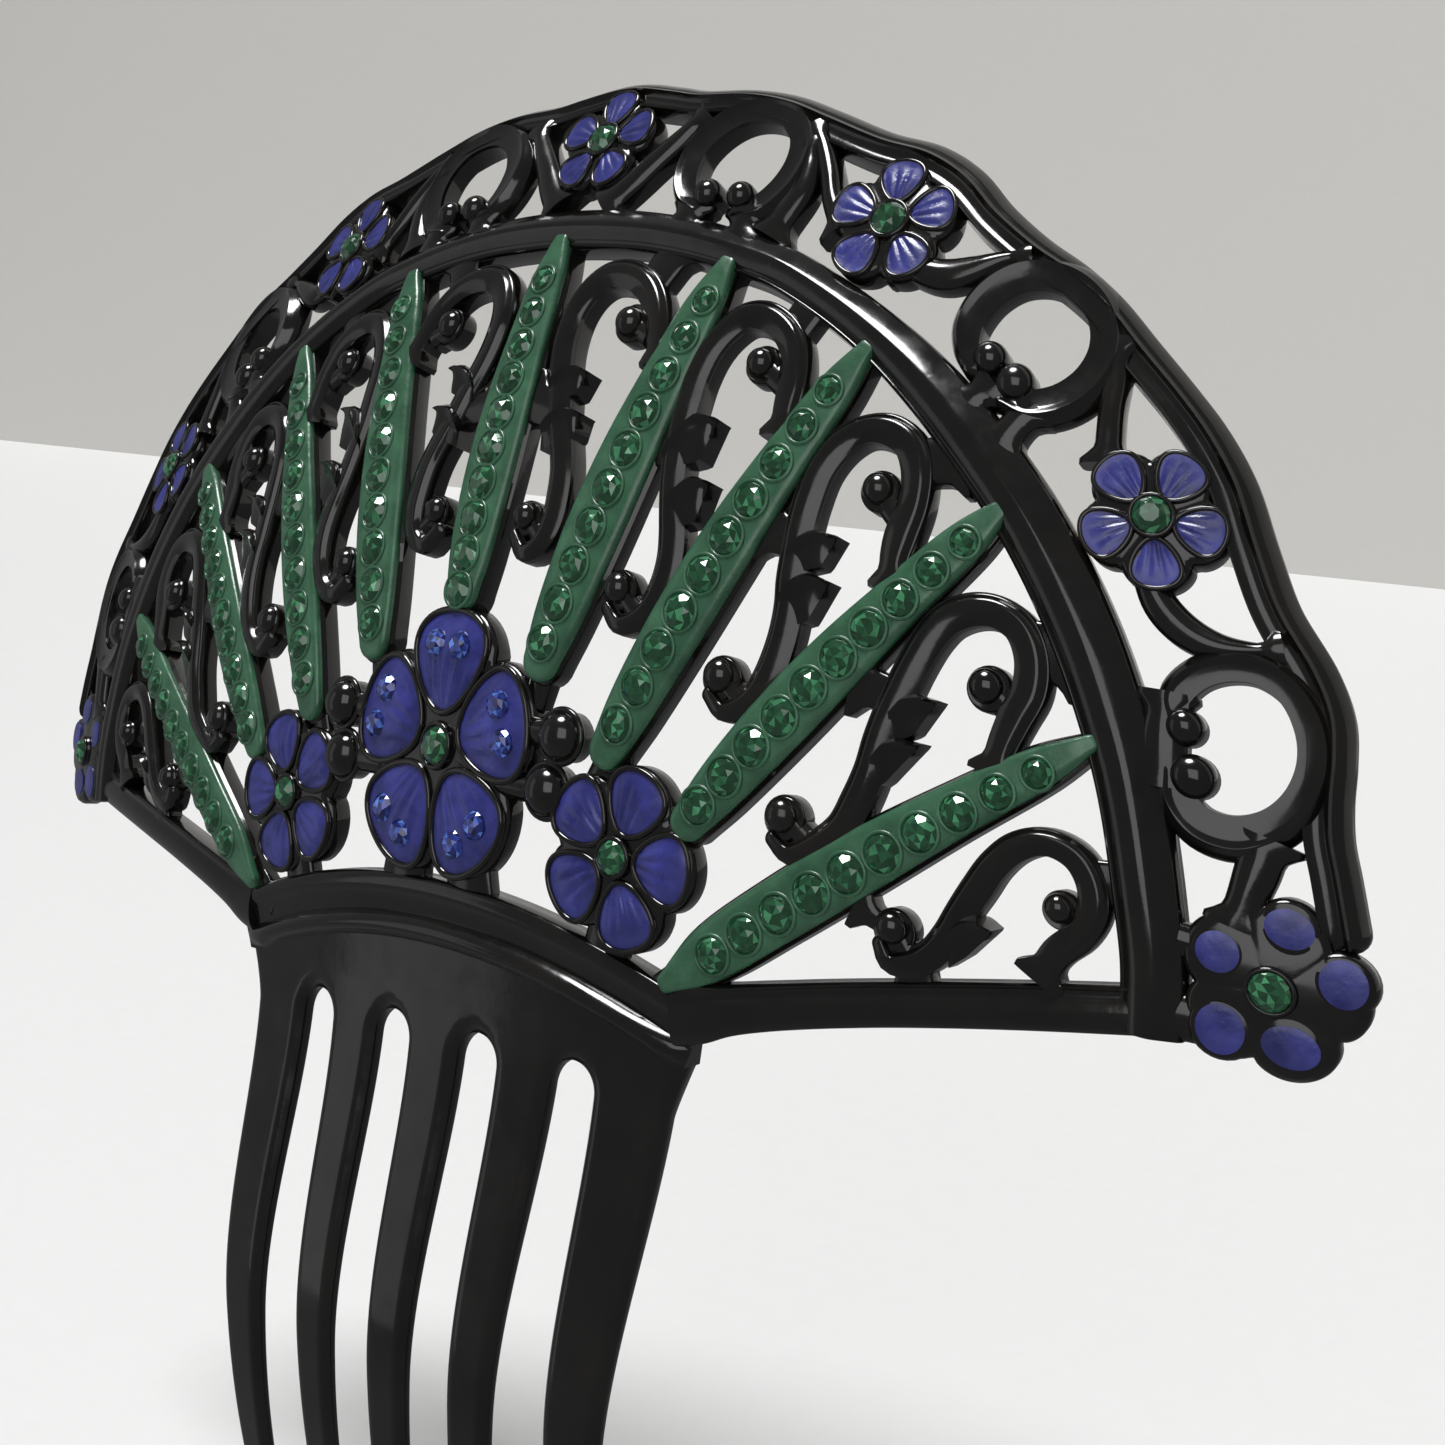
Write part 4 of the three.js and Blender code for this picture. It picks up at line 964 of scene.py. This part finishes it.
make_flower(SIDE_FLOWER, "base_flower_left", "flower_stone_8", 232, [foot], mirror=True)

blue_spots = []
for i in range(10):
    side = -1 if i % 2 else 1
    a = CENTRE_FLOWER["angle"] - 2 * math.pi * (i // 2) / 5 + side * BLUE_SPREAD
    c = CENTRE_FLOWER["centre"]
    blue_spots.append((c[0] + BLUE_REACH * math.cos(a), c[1] + BLUE_REACH * math.sin(a), 1.25))
blue_spots = stretched(blue_spots, CENTRE_FLOWER)
stones_piece("centre_flower_blue_gems", blue_spots, 0.8, BLUE_GLASS, ["blue_stones"], 240)


# ---- Tooth plate and teeth ----
PLATE_FRONT, PLATE_REAR, PLATE_FOOT = -0.35, -2.5, -1.6
PLATE_REACH = 29.3  # half width of the plate's upper part
PLATE_WAIST, PLATE_FLARE = 27.0, 2.3  # half width where the teeth part, and what it gains above
BEAD = 1.15  # half the width of the raised bead across the plate

# Near and far edges of the teeth, at the root and near the tip, from the middle outwards.
TEETH = [((-3.2, 3.2), (-2.0, 2.0)), ((8.1, 14.4), (7.9, 11.7)), ((19.3, 27.0), (19.2, 23.2))]
LAST_TOOTH = 2
SLOT_MIDDLES, SLOT_RADIUS = (5.65, 16.85), 2.45
SLOT_ROOT = -6.0  # height of the middles of the slots' round tops
TIP_ROUND = 2.1
SOFT_EDGE, SOFT_DROP = 1.1, 0.62  # width over which a tooth's edges are rounded, and how deep


def plate_half_width(t):
    return PLATE_REACH if t >= 0 else PLATE_WAIST + PLATE_FLARE * ((t - SLOT_ROOT) / -SLOT_ROOT) ** 1.2


def plate_flat():
    loops = []
    for u in np.linspace(-1, 1, 121):
        top = 8.9 - 5.0 * u * u
        bead = 4.3 - 5.4 * u * u
        section = [(PLATE_FOOT, PLATE_REAR), (PLATE_FOOT, PLATE_FRONT)]
        low = max(bead - 1.2, PLATE_FOOT + 0.3)
        section += [(PLATE_FOOT + (low - PLATE_FOOT) * k, PLATE_FRONT) for k in (0.3, 0.6, 0.9)]
        for x in np.linspace(0, 1, 12):
            rise = 1.05 * (1 - u**12) * math.sin(math.pi * x) ** 0.8
            section.append((low + (bead + BEAD - low) * x, PLATE_FRONT + rise))
        section += [(bead + BEAD + (top - 1.3 - bead - BEAD) * k, -0.3 + 0.4 * k) for k in (0.35, 0.7)]
        for a in np.linspace(-0.9, math.pi / 2, 8):
            section.append((top - 1.0 + math.sin(a), -0.3 + 0.6 * math.cos(a)))
        section += [(top, -2.2), (top - 0.3, PLATE_REAR)]
        loops.append([[u * plate_half_width(t), t, h] for t, h in section])
    return Flat().add(*loft(loops))


def slot_gap(s, t):
    """How far a point lies from the nearest slot."""
    gaps = []
    for middle in SLOT_MIDDLES:
        for side in (-1, 1):
            gaps.append(math.hypot(s - side * middle, max(t - SLOT_ROOT, 0)) - SLOT_RADIUS)
    return max(min(gaps), 0)


def tooth_edges(number, t):
    """A tooth's near and far edges at height t: beside the slots' round tops, then down its sides."""
    if t > SLOT_ROOT:
        reach = math.sqrt(max(SLOT_RADIUS**2 - (t - SLOT_ROOT) ** 2, 0))
        left = SLOT_MIDDLES[number - 1] + reach if number else -SLOT_MIDDLES[0] + reach
        right = SLOT_MIDDLES[number] - reach if number < LAST_TOOTH else plate_half_width(t)
        return left, right
    root, tip = TEETH[number]
    k = min((SLOT_ROOT - t) / (TOOTH_LENGTH - 8), 1)
    return [root[i] + (tip[i] - root[i]) * k for i in (0, 1)]


def tooth_flat(number):
    end = TIP_ROUND - TOOTH_LENGTH
    rows = [PLATE_FOOT, -2.4, -3.0, SLOT_ROOT + SLOT_RADIUS + 0.02]
    rows += [SLOT_ROOT + SLOT_RADIUS * math.cos(a) for a in np.linspace(0.06, math.pi / 2, 16)]
    rows += list(np.linspace(SLOT_ROOT, end, 70)[1:])
    rows += [end - TIP_ROUND * math.sin(a) for a in np.linspace(0, math.pi / 2, 9)[1:]]
    ks = (1 - np.cos(np.linspace(0, math.pi, 27))) / 2
    loops = []
    for t in rows:
        left, right = tooth_edges(number, t)
        k = min(max(-t / TOOTH_LENGTH, 0), 1)
        front, rear = PLATE_FRONT - 0.15 * k, PLATE_REAR + 0.75 * k
        fall = 1.0
        if t < end:
            fall = max(math.sqrt(max(1 - ((end - t) / TIP_ROUND) ** 2, 0)), 0.05)
            middle = (left + right) / 2
            left, right = middle + (left - middle) * fall, middle + (right - middle) * fall
        centre_h = (front + rear) / 2
        fronts, rears = [], []
        for x in ks:
            s = left + (right - left) * x
            edge = min(s - left, right - s) if t <= SLOT_ROOT else slot_gap(s, t)
            if number == LAST_TOOTH:
                edge = min(edge, right - s)
            drop = SOFT_DROP * max(0, 1 - edge / SOFT_EDGE) ** 2
            fronts.append([s, t, centre_h + (front - drop - centre_h) * fall])
            rears.append([s, t, centre_h + (rear + drop * 0.8 - centre_h) * fall])
        loops.append(fronts + rears[::-1])
    return Flat().add(*loft(loops))


comb = plate_flat()
for number in range(3):
    tooth = tooth_flat(number)
    for part in (tooth,) if number == 0 else (tooth, tooth.mirrored()):
        comb.add(np.vstack(part.points), part.faces)
place("tooth_comb_moulding", comb, ["tooth_comb"])


# ---- Stage, light and camera ----

AZIMUTH, ELEVATION, ROLL = math.radians(42.9), math.radians(7.8), math.radians(0.85)
TARGET = Vector((0.0340, 0, 0.0259))
DISTANCE = 0.1748
LENS_MM, SENSOR_MM = 58.447, 36

level = math.cos(ELEVATION)
back = Vector((math.sin(AZIMUTH) * level, -math.cos(AZIMUTH) * level, math.sin(ELEVATION)))
right = Vector((0, 0, 1)).cross(back).normalized()
up = back.cross(right)
cr, sr = math.cos(ROLL), math.sin(ROLL)
right, up = cr * right + sr * up, -sr * right + cr * up
camera_data = bpy.data.cameras.new("camera")
camera_data.sensor_width = SENSOR_MM
camera_data.lens = LENS_MM
camera_data.clip_start, camera_data.clip_end = 0.01, 50
camera = bpy.data.objects.new("camera", camera_data)
spot = TARGET + back * DISTANCE
camera.matrix_world = Matrix.Translation(spot) @ Matrix((right, up, back)).transposed().to_4x4()
bpy.context.scene.collection.objects.link(camera)
bpy.context.scene.camera = camera

FLOOR_Z = cad_box[0][2]


def stage_material(name, colour, rough, glow):
    mat, nodes, links, shader = new_material(name)
    coords = nodes.new("ShaderNodeTexCoord")
    speck = noise(nodes, links, coords, 300, 3)
    stops = [(0.3, tuple(c * 0.985 for c in colour)), (0.7, colour)]
    links.new(ramp(nodes, links, speck, stops), shader.inputs["Base Color"])
    shader.inputs["Roughness"].default_value = rough
    shader.inputs["Emission Color"].default_value = (*colour, 1)
    shader.inputs["Emission Strength"].default_value = glow
    return mat


def stage_quad(name, corners, material, mirrored_in_gloss):
    mesh = bpy.data.meshes.new(name)
    mesh.from_pydata(corners, [], [(0, 1, 2, 3)])
    mesh.materials.append(material)
    obj = bpy.data.objects.new(name, mesh)
    obj.visible_glossy = mirrored_in_gloss
    bpy.context.scene.collection.objects.link(obj)


FLOOR_MAT = stage_material("pale_floor", (0.67, 0.67, 0.67), 0.6, 0.05)
WALL_MAT = stage_material("grey_wall", (0.66, 0.65, 0.62), 0.8, 0.05)


# Two places on the line where the wall meets the floor, in metres.
near, far = Vector((-0.5294, 1.2815, FLOOR_Z)), Vector((-4.7381, 2.6958, FLOOR_Z))
WALL_PAST = 3  # metres the wall runs on past each of them
WALL_TOP, FLOOR_DEPTH = 4, 12

run = (far - near).normalized()
a, b = near - run * WALL_PAST, far + run * WALL_PAST
wall_corners = [(a.x, a.y, FLOOR_Z), (b.x, b.y, FLOOR_Z), (b.x, b.y, WALL_TOP), (a.x, a.y, WALL_TOP)]
stage_quad("wall", wall_corners, WALL_MAT, True)
away = Vector((-run.y, run.x, 0))
if away.dot(spot - near) < 0:
    away = -away
c, d = b + away * FLOOR_DEPTH, a + away * FLOOR_DEPTH
stage_quad("floor", [(p.x, p.y, FLOOR_Z) for p in (d, c, b, a)], FLOOR_MAT, False)


def facing(direction):
    return direction.to_track_quat("Z", "Y").to_matrix().to_4x4()


def softbox(name, place_at, look_at, size, power):
    data = bpy.data.lights.new(name, "AREA")
    data.shape = "RECTANGLE"
    data.size, data.size_y = size
    data.energy = power
    obj = bpy.data.objects.new(name, data)
    at = Vector(place_at)
    obj.matrix_world = Matrix.Translation(at) @ facing(at - Vector(look_at))
    bpy.context.scene.collection.objects.link(obj)


LIGHT_FROM = Vector((-0.2, -0.2, 0.96))
sun_data = bpy.data.lights.new("overhead_softbox", "SUN")
sun_data.energy = 3.1
sun_data.angle = math.radians(23)
sun = bpy.data.objects.new("overhead_softbox", sun_data)
sun.matrix_world = facing(LIGHT_FROM)
bpy.context.scene.collection.objects.link(sun)
softbox("front_fill", (0.35, -0.9, 0.45), (0, 0, 0.02), (0.7, 0.7), 2.5)
softbox("left_strip", (-0.55, -0.45, 0.1), (0, 0, 0.02), (0.2, 0.6), 0.12)

world = bpy.data.worlds.new("studio")
bpy.context.scene.world = world
world.use_nodes = True
background = world.node_tree.nodes["Background"]
background.inputs["Color"].default_value = (0.97, 0.98, 1.0, 1)
background.inputs["Strength"].default_value = 0.17
bpy.context.scene.view_settings.view_transform = "Standard"
